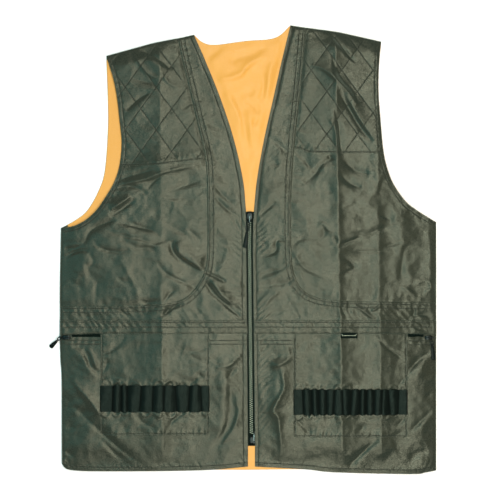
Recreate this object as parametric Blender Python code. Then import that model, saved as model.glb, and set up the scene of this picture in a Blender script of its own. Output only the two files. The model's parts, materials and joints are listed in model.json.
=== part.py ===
"""A reversible hunting vest laid flat, front up.

The back lies on the surface, olive shell below and orange lining above, and the two fronts
lie on it, closed by a zip. Each panel is a wall over a grid of points worked out from the
edges that a cutter would draw. Tables are in millimetres: x is 0 on the line of the zip and
runs towards the wearer's left, y is 0 at half height and runs towards the shoulders, and z
is 0 under the back. What lies on a panel is made from that panel's points, moved out.
"""

import math

import bmesh
import bpy
from mathutils import Matrix, Vector

MM = 0.001
COLLECTION = "reversible_hunting_vest"

# Driving sizes
CLOTH = 1.5
PATCH_CLOTH = 1.4
POCKET_CLOTH = 1.3
WEBBING = 1.2
SEAM_GAP = 0.3
SURFACE_GAP = 0.3
GRID_STEP = 15.5
BACK_SIDE_ROWS = 7
BACK_ARMHOLE_ROWS = 16
BACK_SHOULDER_COLUMNS = 5
BACK_NECK_COLUMNS = 8
FRONT_COLUMNS = 14
SIDE_ROWS = 9
CHEST_ROWS = 9
PATCH_ROWS = 15
STRIP_COLUMNS = 4
ZIP_ROWS = 12
CURVE_SAMPLES = 12
ARC_STEPS = 6
SEAM_ALLOWANCE = 6.0
LINING_INSET_AT_SEAM = 6.6
LINING_INSET_AT_EDGE = 1.2
QUILT_RISE = 1.9
QUILT_SPACING = 40.0
QUILT_ANGLE = math.radians(54.0)
QUILT_SHIFT = 0.2
QUILT_FULLNESS = 0.6
LOOP_RISE = 3.0
LOOP_END_RISE = 1.0
LOOP_SEGMENTS = 4
SHARP_ANGLE = math.radians(40.0)
TAPE_CLOTH = 1.0
CHAIN_WIDTH = 6.1
CHAIN_THICKNESS = 2.4

# Levels, from the surface up
SHELL_LEVEL = 0.0
LINING_LEVEL = SHELL_LEVEL + CLOTH + SURFACE_GAP
FRONT_LEVEL = LINING_LEVEL + CLOTH + SURFACE_GAP
FRONT_EDGE_LEVEL = SHELL_LEVEL + CLOTH + SURFACE_GAP

# Widths and heights, x and y
HALF_WIDTH = 300.0
HEM_Y = -352.0
CHAIN_TOP_Y = 45.5
CHAIN_BOTTOM_Y = -297.4
SHOULDER_Y = 343.0
LENGTH = 700.0
WAISTBAND_BOTTOM_Y = -113.3
PLACKET_BOTTOM_Y = -136.0
ARMHOLE_FOOT_LEVEL = 42.0
POCKET_ZIP_BOTTOM_Y = -141.5

# Edges drawn from the hem up, columns x, y
SIDE_RIGHT = ((-299.2, -343.0), (-299.4, -209.0), (-301.6, -170.0), (-302.4, -81.0), (-300.5, 34.0))
SIDE_LEFT = ((299.2, -353.0), (299.2, -170.0), (299.4, -60.0), (299.2, 43.0))

# Armhole edges, from the side seam up to the shoulder tip, columns x, y
ARMHOLE_FRONT_RIGHT = (
    (-300.5, 34.0), (-280.0, 37.4), (-260.8, 47.0), (-243.2, 63.0), (-230.0, 82.0), (-216.0, 106.0),
    (-207.0, 132.4), (-203.2, 170.0), (-206.4, 207.0), (-210.0, 239.0), (-216.0, 271.0), (-228.0, 309.0),
)
ARMHOLE_BACK_RIGHT = (
    (-300.5, 34.0), (-277.0, 47.0), (-258.0, 63.0), (-240.0, 95.0), (-230.4, 127.0), (-225.6, 191.0),
    (-225.6, 239.0), (-227.2, 287.0), (-228.0, 309.0),
)
ARMHOLE_LEFT = (
    (299.2, 43.0), (267.2, 63.0), (248.0, 79.0), (227.2, 111.0), (215.0, 152.6), (209.6, 207.0),
    (206.4, 255.0), (208.0, 303.0), (211.2, 331.8),
)

# Shoulder seams from the tip to the neck, columns x, y
SHOULDER_RIGHT = ((-228.0, 309.0), (-174.4, 323.8), (-150.4, 330.2), (-110.4, 338.0), (-88.0, 343.0))
SHOULDER_LEFT = ((211.2, 331.8), (161.6, 343.0), (137.6, 347.8), (87.4, 354.6), (66.4, 358.2))

# V neck and zip edges from the neck down, columns x, y
FRONT_EDGE_RIGHT = (
    (-88.0, 343.0), (-70.4, 303.0), (-44.8, 239.0), (-24.0, 175.0), (-9.6, 111.0), (-4.8, 63.0),
)
FRONT_EDGE_LEFT = (
    (66.4, 358.2), (52.8, 303.0), (38.4, 239.0), (24.0, 175.0), (12.8, 111.0), (8.0, 63.0),
)
ZIP_EDGE_RIGHT = ((-4.8, 63.0), (-1.6, -311.0), (-1.6, -347.0))
ZIP_EDGE_LEFT = ((8.0, 63.0), (12.0, -311.0), (11.4, -347.0))

# Curved front seam from the shoulder down and out to the side, columns x, y
CURVED_SEAM_RIGHT = (
    (-110.4, 338.0), (-101.6, 296.6), (-89.6, 247.0), (-78.4, 199.0), (-65.9, 144.0), (-63.4, 68.0),
    (-63.4, 0.0), (-67.5, -35.0), (-82.0, -60.0), (-105.0, -79.0), (-140.0, -87.4), (-222.4, -90.6),
    (-302.3, -90.6),
)
CURVED_SEAM_LEFT = (
    (87.4, 354.6), (79.8, 271.4), (74.7, 220.4), (69.6, 169.4), (64.5, 93.4), (64.5, 0.0),
    (68.0, -35.0), (78.0, -58.0), (100.0, -74.0), (140.8, -81.4), (220.0, -83.6), (299.2, -85.2),
)

# Back neck edge from the wearer's right, columns x, y
BACK_NECK = ((-88.0, 343.0), (-74.0, 331.0), (-54.4, 327.0), (-6.4, 333.0), (41.6, 338.2), (66.4, 358.2))

# Hem edges, columns x, y
HEM_BACK = (
    (-299.2, -343.0), (-285.0, -351.5), (-222.4, -353.5), (-78.4, -352.5), (0.0, -352.5),
    (90.0, -351.8), (137.6, -355.5), (257.6, -358.4), (299.2, -353.0),
)
HEM_RIGHT = ((-299.2, -343.0), (-285.0, -352.5), (-222.4, -354.6), (-78.4, -353.0), (-1.6, -347.0))
HEM_LEFT = (
    (299.2, -353.0), (281.6, -356.5), (257.6, -359.0), (137.6, -356.2), (89.6, -351.4), (11.4, -347.0),
)

# Cartridge band sewing lines from the outer end in, x
LOOP_LINES_RIGHT = (
    -237.3, -217.6, -204.2, -193.8, -173.0, -153.4, -135.3, -116.6, -95.8, -76.2, -63.0,
)
LOOP_LINES_LEFT = (
    253.0, 238.1, 223.5, 211.5, 198.9, 186.9, 176.3, 162.4, 149.1, 135.2, 123.2, 111.4, 99.4, 86.1, 70.9,
)

# What differs between the two fronts, by the wearer's side
FRONTS = {
    "right": {
        "side": SIDE_RIGHT, "armhole": ARMHOLE_FRONT_RIGHT, "shoulder": SHOULDER_RIGHT,
        "front_edge": FRONT_EDGE_RIGHT, "zip_edge": ZIP_EDGE_RIGHT, "seam": CURVED_SEAM_RIGHT,
        "hem": HEM_RIGHT, "loops": LOOP_LINES_RIGHT, "armhole_foot": (-300.5, 34.0),
        "patch_outer": (-207.0, 132.4), "patch_inner": (-65.9, 144.0), "seam_bend": (-82.0, -60.0),
        "side_at_waist": (-302.0, WAISTBAND_BOTTOM_Y), "pocket_bottom": -297.0,
        "band_bottom": -259.4, "band_top": -217.0, "pocket_zip": (-283.0, -242.0), "out": -1.0,
    },
    "left": {
        "side": SIDE_LEFT, "armhole": ARMHOLE_LEFT, "shoulder": SHOULDER_LEFT,
        "front_edge": FRONT_EDGE_LEFT, "zip_edge": ZIP_EDGE_LEFT, "seam": CURVED_SEAM_LEFT,
        "hem": HEM_LEFT, "loops": LOOP_LINES_LEFT, "armhole_foot": (299.2, 43.0),
        "patch_outer": (215.0, 152.6), "patch_inner": (69.0, 162.0), "seam_bend": (78.0, -58.0),
        "side_at_waist": (299.3, WAISTBAND_BOTTOM_Y), "pocket_bottom": -300.0,
        "band_bottom": -264.2, "band_top": -223.4, "pocket_zip": (279.0, 257.0), "out": 1.0,
    },
}

# Largest folds, columns start x, start y, end x, end y, height, half width
FOLDS = (
    (-212.0, 120.0, -78.0, 152.0, 5.5, 12.0),
    (-238.0, 50.0, -176.0, 92.0, 6.5, 15.0),
    (-205.0, 26.0, -118.0, -4.0, 4.0, 12.0),
    (-190.0, 214.0, -152.0, 250.0, 3.0, 10.0),
    (-170.0, 312.0, -112.0, 274.0, 3.0, 12.0),
    (-116.0, 12.0, -66.0, -40.0, 6.5, 13.0),
    (-60.0, -48.0, -22.0, -96.0, 5.0, 12.0),
    (-140.0, -28.0, -94.0, -60.0, 4.0, 12.0),
    (-54.0, 108.0, -22.0, 60.0, 3.0, 10.0),
    (-268.0, -166.0, -243.0, -208.0, 5.0, 10.0),
    (-272.0, -216.0, -186.0, -330.0, 6.0, 13.0),
    (-288.0, -60.0, -232.0, 14.0, 3.5, 16.0),
    (-36.0, -190.0, -46.0, -300.0, 4.0, 11.0),
    (128.0, 290.0, 196.0, 190.0, 4.5, 13.0),
    (134.0, 338.0, 166.0, 306.0, 3.0, 12.0),
    (92.0, 176.0, 124.0, 120.0, 3.5, 13.0),
    (136.0, 116.0, 190.0, 70.0, 4.0, 15.0),
    (20.0, 84.0, 58.0, 106.0, 3.0, 10.0),
    (140.0, 22.0, 214.0, 40.0, 4.0, 12.0),
    (226.0, 90.0, 256.0, -40.0, 4.5, 16.0),
    (262.0, -206.0, 290.0, -176.0, 5.0, 11.0),
    (30.0, -170.0, 56.0, -190.0, 3.0, 10.0),
    (42.0, -200.0, 40.0, -300.0, 4.0, 11.0),
    (140.0, -342.0, 206.0, -306.0, 5.0, 12.0),
    (262.0, -292.0, 290.0, -262.0, 4.5, 12.0),
    (92.0, -330.0, 124.0, -312.0, 3.0, 12.0),
)

# Creases pressed by storage, columns x at the top, x at the bottom, height, half width
PRESSED = (
    (-142.4, -137.0, 1.8, 30.0),
    (137.5, 150.0, 1.8, 30.0),
    (205.0, 214.0, 1.0, 26.0),
)
FOLD_END = 0.45
FOLD_REACH = 3.0
BILLOW = 1.6
BILLOW_LENGTH = 150.0
EDGE_FADE = 26.0

# Zip pulls, columns name, slider, pivot x, pivot y, heading in degrees, link length, paddle length, droop
PULLS = (
    ("zip", "zip_slider", -0.6, 44.4, 262.0, 17.5, 25.5, 2.0),
    ("pocket_zip_right", "pocket_zip_slider_right", -300.3, -139.9, 224.0, 9.0, 17.0, 16.0),
    ("pocket_zip_left", "pocket_zip_slider_left", 291.5, -146.4, 276.0, 9.0, 22.0, 3.0),
)
PULL_LIFT = 0.6
LINK_WIDTH = 6.0
LINK_HOLE_WIDTH = 2.6
LINK_RIM = 2.0
PADDLE_NECK_WIDTH = 4.4
PADDLE_WIDTH = 7.4
PULL_THICKNESS = 1.8

# Sliders, columns name, centre x, centre y, length, width, height, heading in degrees
SLIDERS = (
    ("zip_slider", 1.0, 53.4, 14.4, 10.6, 4.4, 270.0),
    ("pocket_zip_slider_right", -291.4, -140.6, 13.6, 7.2, 3.0, 180.0),
    ("pocket_zip_slider_left", 286.4, -141.0, 12.0, 7.2, 3.0, 0.0),
)
RAIL_WIDTH = 2.2
RAIL_HEIGHT = 1.6
RAIL_SHARE = 0.8
SLIDER_BEVEL = 0.8
BEVEL_SEGMENTS = 2

LABEL_OUTER = (172.8, -136.9)
LABEL_INNER = (146.0, -141.6)
LABEL_THICKNESS = 1.0
ZIP_BOX_SIZE = (9.6, 12.6, 3.6)
ZIP_BOX_CENTRE = (5.4, -304.4)

# Material values, columns red, green, blue, roughness, metallic
MATERIALS = {
    "olive_nylon": (0.085, 0.092, 0.062, 0.45, 0.0),
    "orange_lining": (0.90, 0.40, 0.10, 0.60, 0.0),
    "black_webbing": (0.012, 0.022, 0.020, 0.80, 0.0),
    "black_tape": (0.020, 0.026, 0.022, 0.75, 0.0),
    "dark_metal": (0.05, 0.06, 0.06, 0.35, 1.0),
    "dark_plastic": (0.016, 0.022, 0.022, 0.40, 0.0),
}


def clear_scene():
    for old in list(bpy.data.objects):
        bpy.data.objects.remove(old, do_unlink=True)


def material(name):
    """Principled material of a finish named in MATERIALS, made once."""
    if name in bpy.data.materials:
        return bpy.data.materials[name]
    red, green, blue, roughness, metallic = MATERIALS[name]
    made = bpy.data.materials.new(name)
    made.use_nodes = True
    shader = made.node_tree.nodes["Principled BSDF"]
    shader.inputs["Base Color"].default_value = (red, green, blue, 1.0)
    shader.inputs["Roughness"].default_value = roughness
    shader.inputs["Metallic"].default_value = metallic
    return made


def smooth_step(value):
    value = min(max(value, 0.0), 1.0)
    return value * value * (3.0 - 2.0 * value)


# Edges


def smooth_edge(table, samples=CURVE_SAMPLES):
    """Points along a Catmull-Rom curve through the table's points."""
    knots = [Vector(row) for row in table]
    padded = [knots[0] * 2 - knots[1]] + knots + [knots[-1] * 2 - knots[-2]]
    points = []
    for a, b, c, d in zip(padded, padded[1:], padded[2:], padded[3:]):
        for step in range(samples):
            t = step / samples
            points.append(
                0.5 * (2 * b + (c - a) * t + (2 * a - 5 * b + 4 * c - d) * t * t
                       + (3 * b - a - 3 * c + d) * t ** 3)
            )
    points.append(knots[-1])
    return points


def cut(edge, start, end, count):
    """count + 1 evenly spaced points of an edge, from nearest start to nearest end."""
    first = min(range(len(edge)), key=lambda i: (edge[i] - Vector(start)).length)
    last = min(range(len(edge)), key=lambda i: (edge[i] - Vector(end)).length)
    piece = edge[first:last + 1] if first < last else edge[last:first + 1][::-1]
    lengths = [0.0]
    for a, b in zip(piece, piece[1:]):
        lengths.append(lengths[-1] + (b - a).length)
    points = []
    place = 0
    for step in range(count + 1):
        wanted = lengths[-1] * step / count
        while place < len(piece) - 2 and lengths[place + 1] < wanted:
            place += 1
        span = lengths[place + 1] - lengths[place]
        points.append(piece[place].lerp(piece[place + 1], (wanted - lengths[place]) / span))
    return points


def joined(*runs):
    """Runs of points that follow each other, with the shared ends kept once."""
    points = list(runs[0])
    for run in runs[1:]:
        points += run[1:]
    return points


def across(table, x):
    """The height y of an edge at x, along the smooth curve through its table."""
    edge = sorted(smooth_edge(table), key=lambda point: point.x)
    if x <= edge[0].x:
        return edge[0].y
    for a, b in zip(edge, edge[1:]):
        if x <= b.x:
            return a.y + (b.y - a.y) * (x - a.x) / max(b.x - a.x, 1e-6)
    return edge[-1].y


def beside(table, y):
    """The place x of an edge at y, on the straight lines between its table's points."""
    rows = sorted(table, key=lambda row: row[1])
    if y <= rows[0][1]:
        return rows[0][0]
    for (ax, ay), (bx, by) in zip(rows, rows[1:]):
        if y <= by:
            return ax + (bx - ax) * (y - ay) / (by - ay)
    return rows[-1][0]


# Grids of points


def coons(bottom, top, outer, inner):
    """Rows of plan points between four edges that meet at their ends."""
    rows = []
    for r, (left, right) in enumerate(zip(outer, inner)):
        v = r / (len(outer) - 1)
        row = []
        for c, (low, high) in enumerate(zip(bottom, top)):
            u = c / (len(bottom) - 1)
            corners = (
                (1 - u) * (1 - v) * bottom[0] + u * (1 - v) * bottom[-1]
                + (1 - u) * v * top[0] + u * v * top[-1]
            )
            row.append((1 - u) * left + u * right + (1 - v) * low + v * high - corners)
        rows.append(row)
    return rows


def steps_between(stops, step):
    """Values that pass through every stop and lie no further apart than step."""
    values = [stops[0]]
    for a, b in zip(stops, stops[1:]):
        count = max(1, math.ceil(abs(b - a) / step - 1e-6))
        values += [a + (b - a) * i / count for i in range(1, count + 1)]
    return values


def segment_distance(x, y, fold):
    """Distance to a fold's line, and how far along it the nearest place is, 0 to 1."""
    x0, y0, x1, y1 = fold[:4]
    run_x = x1 - x0
    run_y = y1 - y0
    along = ((x - x0) * run_x + (y - y0) * run_y) / (run_x ** 2 + run_y ** 2)
    near = min(max(along, 0.0), 1.0)
    return math.hypot(x - x0 - near * run_x, y - y0 - near * run_y), near


def front_height(x, y):
    """How high the underside of the fronts lies: flat at the edges, raised by its folds."""
    rise = BILLOW * (1.0 + math.sin(x / BILLOW_LENGTH * math.pi) * math.cos(y / BILLOW_LENGTH * math.pi))
    for fold in FOLDS:
        distance, near = segment_distance(x, y, fold)
        height, half_width = fold[4:]
        if distance < FOLD_REACH * half_width:
            taper = FOLD_END + (1.0 - FOLD_END) * math.sin(math.pi * near)
            rise += height * taper * math.exp(-(distance / half_width) ** 2)
    down = (SHOULDER_Y - y) / LENGTH
    for x_top, x_bottom, height, half_width in PRESSED:
        off = abs(x - x_top - (x_bottom - x_top) * down)
        rise += height * max(0.0, 1.0 - off / half_width)
    side = "right" if x < (beside(ZIP_EDGE_RIGHT, y) + beside(ZIP_EDGE_LEFT, y)) / 2 else "left"
    edge_x = beside(FRONTS[side]["front_edge"] + FRONTS[side]["zip_edge"][1:], y)
    from_front_edge = smooth_step(abs(x - edge_x) / EDGE_FADE)
    from_side = smooth_step((HALF_WIDTH - abs(x)) / EDGE_FADE)
    from_hem = smooth_step((y - HEM_Y) / EDGE_FADE)
    from_shoulder = smooth_step((across(FRONTS[side]["shoulder"], x) - y) / EDGE_FADE)
    return FRONT_LEVEL + rise * from_front_edge * from_side * from_hem * from_shoulder


def raised(rows, height=front_height):
    return [[Vector((p.x, p.y, height(p.x, p.y))) for p in row] for row in rows]


def drop_column(rows, column, level, upper=None):
    for row in rows[:upper]:
        row[column].z = level


def drop_row(rows, row, level):
    for point in rows[row]:
        point.z = level


# Objects


def place(obj, finish, collection):
    """Puts an object in the vest's collection, with its finish."""
    for other in list(obj.users_collection):
        other.objects.unlink(obj)
    collection.objects.link(obj)
    obj.data.materials.clear()
    obj.data.materials.append(material(finish))
    return obj


def split_along_ridges(bm):
    """Cuts each four-sided face along its higher diagonal, so that folds stay crisp.

    A wall's two faces and whatever lies on it then bend on the same lines.
    """
    for face in bm.faces[:]:
        a, b, c, d = face.verts
        ends = (a, c) if a.co.z + c.co.z > b.co.z + d.co.z else (b, d)
        bmesh.utils.face_split(face, *ends)


def wall(name, rows, thickness, finish, collection, extra=None):
    """A cloth wall over a grid of points, its inner face on them and its outer face above.

    extra adds to the thickness point by point, so that the outer face is raised over a
    plain inner one.
    """
    mesh = bpy.data.meshes.new(name)
    bm = bmesh.new()
    last_row = len(rows) - 1
    last_column = len(rows[0]) - 1
    bmesh.ops.create_grid(bm, x_segments=last_column, y_segments=last_row, size=1.0)
    rise = bm.verts.layers.float.new("rise")
    for vert in bm.verts:
        column = round((vert.co.x + 1.0) / 2.0 * last_column)
        row = round((vert.co.y + 1.0) / 2.0 * last_row)
        vert.co = rows[row][column] * MM
        vert[rise] = (thickness + (extra[row][column] if extra else 0.0)) * MM
    split_along_ridges(bm)
    outer = bmesh.ops.extrude_face_region(bm, geom=bm.faces[:], use_keep_orig=True)["geom"]
    for item in outer:
        if isinstance(item, bmesh.types.BMVert):
            item.co.z += item[rise]
    bmesh.ops.recalc_face_normals(bm, faces=bm.faces[:])
    bm.verts.layers.float.remove(rise)
    bm.to_mesh(mesh)
    bm.free()
    obj = place(bpy.data.objects.new(name, mesh), finish, collection)
    mesh.shade_smooth()
    mesh.set_sharp_from_angle(angle=SHARP_ANGLE)
    return obj


def lifted(rows, distance):
    """The grid moved up, for a piece that lies on a panel and bends on its lines."""
    return [[point + Vector((0.0, 0.0, distance)) for point in row] for row in rows]


def block(rows, first_row, last_row, first_column, last_column):
    return [row[first_column:last_column + 1] for row in rows[first_row:last_row + 1]]


def trimmed(rows, bottom=0.0, top=0.0, inner=0.0):
    """The grid with its edges moved in by these distances."""
    out = [[point.copy() for point in row] for row in rows]
    for column in range(len(out[0])):
        low = out[1][column] - out[0][column]
        high = out[-2][column] - out[-1][column]
        out[0][column] += low.normalized() * bottom
        out[-1][column] += high.normalized() * top
    for row in out:
        row[-1] += (row[-2] - row[-1]).normalized() * inner
    return out


def nearest_index(values, wanted):
    return min(range(len(values)), key=lambda i: abs(values[i] - wanted))


# Back


def back_edges(inset_at_seam, inset_at_edge):
    """Plan points of the whole back, moved in at its seams and at its open edges."""
    side_right = smooth_edge(SIDE_RIGHT)
    side_left = smooth_edge(SIDE_LEFT)
    armhole_right = smooth_edge(ARMHOLE_BACK_RIGHT)
    armhole_left = smooth_edge(ARMHOLE_LEFT)
    outer = joined(
        cut(side_right, SIDE_RIGHT[0], SIDE_RIGHT[-1], BACK_SIDE_ROWS),
        cut(armhole_right, ARMHOLE_BACK_RIGHT[0], ARMHOLE_BACK_RIGHT[-1], BACK_ARMHOLE_ROWS),
    )
    inner = joined(
        cut(side_left, SIDE_LEFT[0], SIDE_LEFT[-1], BACK_SIDE_ROWS),
        cut(armhole_left, ARMHOLE_LEFT[0], ARMHOLE_LEFT[-1], BACK_ARMHOLE_ROWS),
    )
    columns = BACK_NECK_COLUMNS + 2 * BACK_SHOULDER_COLUMNS
    top = joined(
        cut(smooth_edge(SHOULDER_RIGHT), SHOULDER_RIGHT[0], SHOULDER_RIGHT[-1], BACK_SHOULDER_COLUMNS),
        cut(smooth_edge(BACK_NECK), BACK_NECK[0], BACK_NECK[-1], BACK_NECK_COLUMNS),
        cut(smooth_edge(SHOULDER_LEFT[::-1]), SHOULDER_LEFT[-1], SHOULDER_LEFT[0], BACK_SHOULDER_COLUMNS),
    )
    bottom = cut(smooth_edge(HEM_BACK), HEM_BACK[0], HEM_BACK[-1], columns)
    rows = coons(bottom, top, outer, inner)
    for r, row in enumerate(rows):
        inset = inset_at_seam if r <= BACK_SIDE_ROWS else inset_at_edge
        row[0] += (row[1] - row[0]).normalized() * inset
        row[-1] += (row[-2] - row[-1]).normalized() * inset
    for c in range(columns + 1):
        over_neck = BACK_SHOULDER_COLUMNS < c < columns - BACK_SHOULDER_COLUMNS
        inset = inset_at_edge if over_neck else inset_at_seam
        rows[-1][c] += (rows[-2][c] - rows[-1][c]).normalized() * inset
        rows[0][c] += (rows[1][c] - rows[0][c]).normalized() * inset_at_edge
    return rows


def build_back(collection):
    shell = raised(back_edges(0.0, 0.0), lambda x, y: SHELL_LEVEL)
    wall("back_shell", shell, CLOTH, "olive_nylon", collection)
    lining = raised(back_edges(LINING_INSET_AT_SEAM, LINING_INSET_AT_EDGE), lambda x, y: LINING_LEVEL)
    wall("back_lining", lining, CLOTH, "orange_lining", collection)


# Upper fronts


def front_lines(front):
    """The seam, outer and inner edges of one front, cut at the same places."""
    seam = smooth_edge(front["seam"])
    side = smooth_edge(front["side"])
    armhole = smooth_edge(front["armhole"])
    foot_on_seam = (front["patch_inner"][0], ARMHOLE_FOOT_LEVEL)
    outer = joined(
        cut(side, front["seam"][-1], front["armhole_foot"], SIDE_ROWS),
        cut(armhole, front["armhole_foot"], front["patch_outer"], CHEST_ROWS),
        cut(armhole, front["patch_outer"], front["shoulder"][0], PATCH_ROWS),
    )
    inner = joined(
        cut(seam, front["seam_bend"], foot_on_seam, SIDE_ROWS),
        cut(seam, foot_on_seam, front["patch_inner"], CHEST_ROWS),
        cut(seam, front["patch_inner"], front["seam"][0], PATCH_ROWS),
    )
    bottom = cut(seam, front["seam"][-1], front["seam_bend"], FRONT_COLUMNS)
    top = cut(smooth_edge(front["shoulder"]), front["shoulder"][0], front["seam"][0], FRONT_COLUMNS)
    return outer, inner, bottom, top


def build_side_front(name, front, collection):
    """The chest panel outside the curved seam, and the quilted patch on its upper part."""
    outer, inner, bottom, top = front_lines(front)
    plan = coons(bottom, top, outer, inner)
    for row in plan:
        row[1] = row[0] + (row[1] - row[0]).normalized() * SEAM_ALLOWANCE
        row[-1] = row[-1] + (row[-2] - row[-1]).normalized() * SEAM_GAP / 2
    for column in range(len(plan[0])):
        plan[0][column] = plan[0][column] + (plan[1][column] - plan[0][column]).normalized() * SEAM_GAP / 2
        shoulder = plan[-1][column]
        plan[-2][column] = shoulder + (plan[-2][column] - shoulder).normalized() * SEAM_ALLOWANCE
    rows = raised(plan)
    drop_row(rows, -1, FRONT_EDGE_LEVEL)
    drop_column(rows, 0, FRONT_EDGE_LEVEL, SIDE_ROWS)
    wall(f"front_side_{name}", rows, CLOTH, "olive_nylon", collection)
    patch = lifted(rows, CLOTH + SURFACE_GAP)[SIDE_ROWS + CHEST_ROWS:]
    relief = [[quilting(point, front["out"]) for point in row] for row in patch]
    for row in (relief[0], relief[-1]):
        row[:] = [0.0] * len(row)
    for row in relief:
        row[0] = 0.0
        row[-1] = 0.0
    wall(f"shoulder_patch_{name}", patch, PATCH_CLOTH, "olive_nylon", collection, relief)


def quilting(point, out):
    """Rise of the diamond quilting: none on its two sets of sewn lines, full between them."""
    rise = 1.0
    for lean in (QUILT_ANGLE, -QUILT_ANGLE):
        across_lines = (point.x * math.sin(lean) - point.y * math.cos(lean)) / QUILT_SPACING
        rise *= abs(math.sin(math.pi * (across_lines + QUILT_SHIFT * out))) ** QUILT_FULLNESS
    return QUILT_RISE * rise


def build_centre_front(name, front, collection):
    """The strip along the zip, which turns out below the curved seam as the waistband."""
    _, inner, bottom, _ = front_lines(front)
    seam = joined(inner[::-1], bottom[::-1])
    free = smooth_edge(front["front_edge"])
    zip_edge = smooth_edge(front["zip_edge"])
    neck_rows = CHEST_ROWS + PATCH_ROWS
    corner = Vector((beside(front["zip_edge"], WAISTBAND_BOTTOM_Y), WAISTBAND_BOTTOM_Y))
    edge = joined(
        cut(free, front["front_edge"][0], front["front_edge"][-1], neck_rows),
        cut(zip_edge, front["zip_edge"][0], corner, SIDE_ROWS),
        [corner.lerp(Vector(front["side_at_waist"]), i / (len(bottom) - 1)) for i in range(len(bottom))],
    )
    plan = []
    for seam_point, edge_point in zip(seam, edge):
        inward = (edge_point - seam_point).normalized()
        start = seam_point + inward * SEAM_GAP / 2
        plan.append([start.lerp(edge_point, c / STRIP_COLUMNS) for c in range(STRIP_COLUMNS + 1)])
    for column in range(STRIP_COLUMNS + 1):
        shoulder = plan[0][column]
        plan[1][column] = shoulder + (plan[1][column] - shoulder).normalized() * SEAM_ALLOWANCE
        side = plan[-1][column]
        plan[-2][column] = side + (plan[-2][column] - side).normalized() * SEAM_ALLOWANCE
    rows = raised(plan)
    drop_row(rows, 0, FRONT_EDGE_LEVEL)
    drop_row(rows, -1, FRONT_EDGE_LEVEL)
    wall(f"front_centre_{name}", rows, CLOTH, "olive_nylon", collection)


# Lower fronts


def lower_plan(front):
    """Grid of the lower front, whose lines pass through the pocket, band and placket edges."""
    loops = front["loops"]
    out = front["out"]
    row_stops = (
        front["hem"][0][1], front["pocket_bottom"], front["band_bottom"], front["band_top"],
        POCKET_ZIP_BOTTOM_Y, PLACKET_BOTTOM_Y, WAISTBAND_BOTTOM_Y - SEAM_GAP,
    )
    heights = steps_between(row_stops, GRID_STEP)
    outer_columns = steps_between((front["side"][0][0] - out * SEAM_ALLOWANCE, loops[0]), GRID_STEP)
    inner_columns = steps_between((loops[-1], front["hem"][-1][0]), GRID_STEP)
    places = [front["side"][0][0]] + outer_columns + list(loops[1:]) + inner_columns[1:]
    hem_rows = nearest_index(heights, front["pocket_bottom"])
    rows = []
    for r, height in enumerate(heights):
        row = []
        for c, x in enumerate(places):
            y = height
            if r < hem_rows:
                hem = across(front["hem"], x)
                y = hem + (front["pocket_bottom"] - hem) * r / hem_rows
            if c == 0:
                x = beside(front["side"], y)
            if c == 1:
                x = beside(front["side"], y) - out * SEAM_ALLOWANCE
            if c == len(places) - 1:
                x = beside(front["zip_edge"], y)
            row.append(Vector((x, y)))
        rows.append(row)
    return rows, heights, places


def build_lower_front(name, front, collection):
    plan, heights, places = lower_plan(front)
    rows = raised(plan)
    drop_column(rows, 0, FRONT_EDGE_LEVEL)
    wall(f"front_lower_{name}", rows, CLOTH, "olive_nylon", collection)
    on_panel = lifted(rows, CLOTH + SURFACE_GAP)

    placket_row = nearest_index(heights, PLACKET_BOTTOM_Y)
    zip_row = nearest_index(heights, POCKET_ZIP_BOTTOM_Y)
    first = nearest_index(places, front["loops"][0])
    last = nearest_index(places, front["loops"][-1])

    placket = trimmed(on_panel[placket_row:], bottom=SEAM_GAP / 2, top=SEAM_GAP / 2)
    wall(f"placket_{name}", placket, CLOTH, "olive_nylon", collection)

    pocket_row = nearest_index(heights, front["pocket_bottom"])
    pocket = trimmed(block(on_panel, pocket_row, placket_row, first, last), top=SEAM_GAP / 2)
    wall(f"pocket_{name}", pocket, POCKET_CLOTH, "olive_nylon", collection)

    tape_first = nearest_index(places, front["pocket_zip"][0])
    tape = block(on_panel, zip_row, placket_row, tape_first, first)
    tape = trimmed(tape, top=SEAM_GAP / 2, inner=SEAM_GAP)
    wall(f"pocket_zip_{name}", tape, TAPE_CLOTH, "black_tape", collection)

    band_low = nearest_index(heights, front["band_bottom"])
    band_high = nearest_index(heights, front["band_top"])
    on_pocket = lifted(block(on_panel, band_low, band_high, first, last), POCKET_CLOTH + SURFACE_GAP)
    wall(f"cartridge_band_{name}", loops_over(on_pocket), WEBBING, "black_webbing", collection)
    if name == "left":
        build_label(lifted(pocket, POCKET_CLOTH + SURFACE_GAP), collection)


def loops_over(rows):
    """The webbing's points: down at each sewing line and arched between two of them."""
    out = []
    for row in rows:
        line = [row[0]]
        for index, (a, b) in enumerate(zip(row, row[1:])):
            rise = LOOP_RISE if 0 < index < len(row) - 2 else LOOP_END_RISE
            for step in range(1, LOOP_SEGMENTS + 1):
                t = step / LOOP_SEGMENTS
                arch = math.sin(math.pi * t) * rise
                line.append(a.lerp(b, t) + Vector((0.0, 0.0, arch)))
        out.append(line)
    return out


def build_label(on_pocket, collection):
    """The bare sewn tab that hangs over the top of the left pocket."""
    top_row = on_pocket[-1]
    level = max(p.z for p in top_row if LABEL_INNER[0] - GRID_STEP < p.x < LABEL_OUTER[0] + GRID_STEP)
    rows = [
        [Vector((x, y, level)) for x in (LABEL_INNER[0], LABEL_OUTER[0])]
        for y in (LABEL_INNER[1], LABEL_OUTER[1])
    ]
    wall("label_tab", rows, LABEL_THICKNESS, "black_tape", collection)


# Zips


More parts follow.
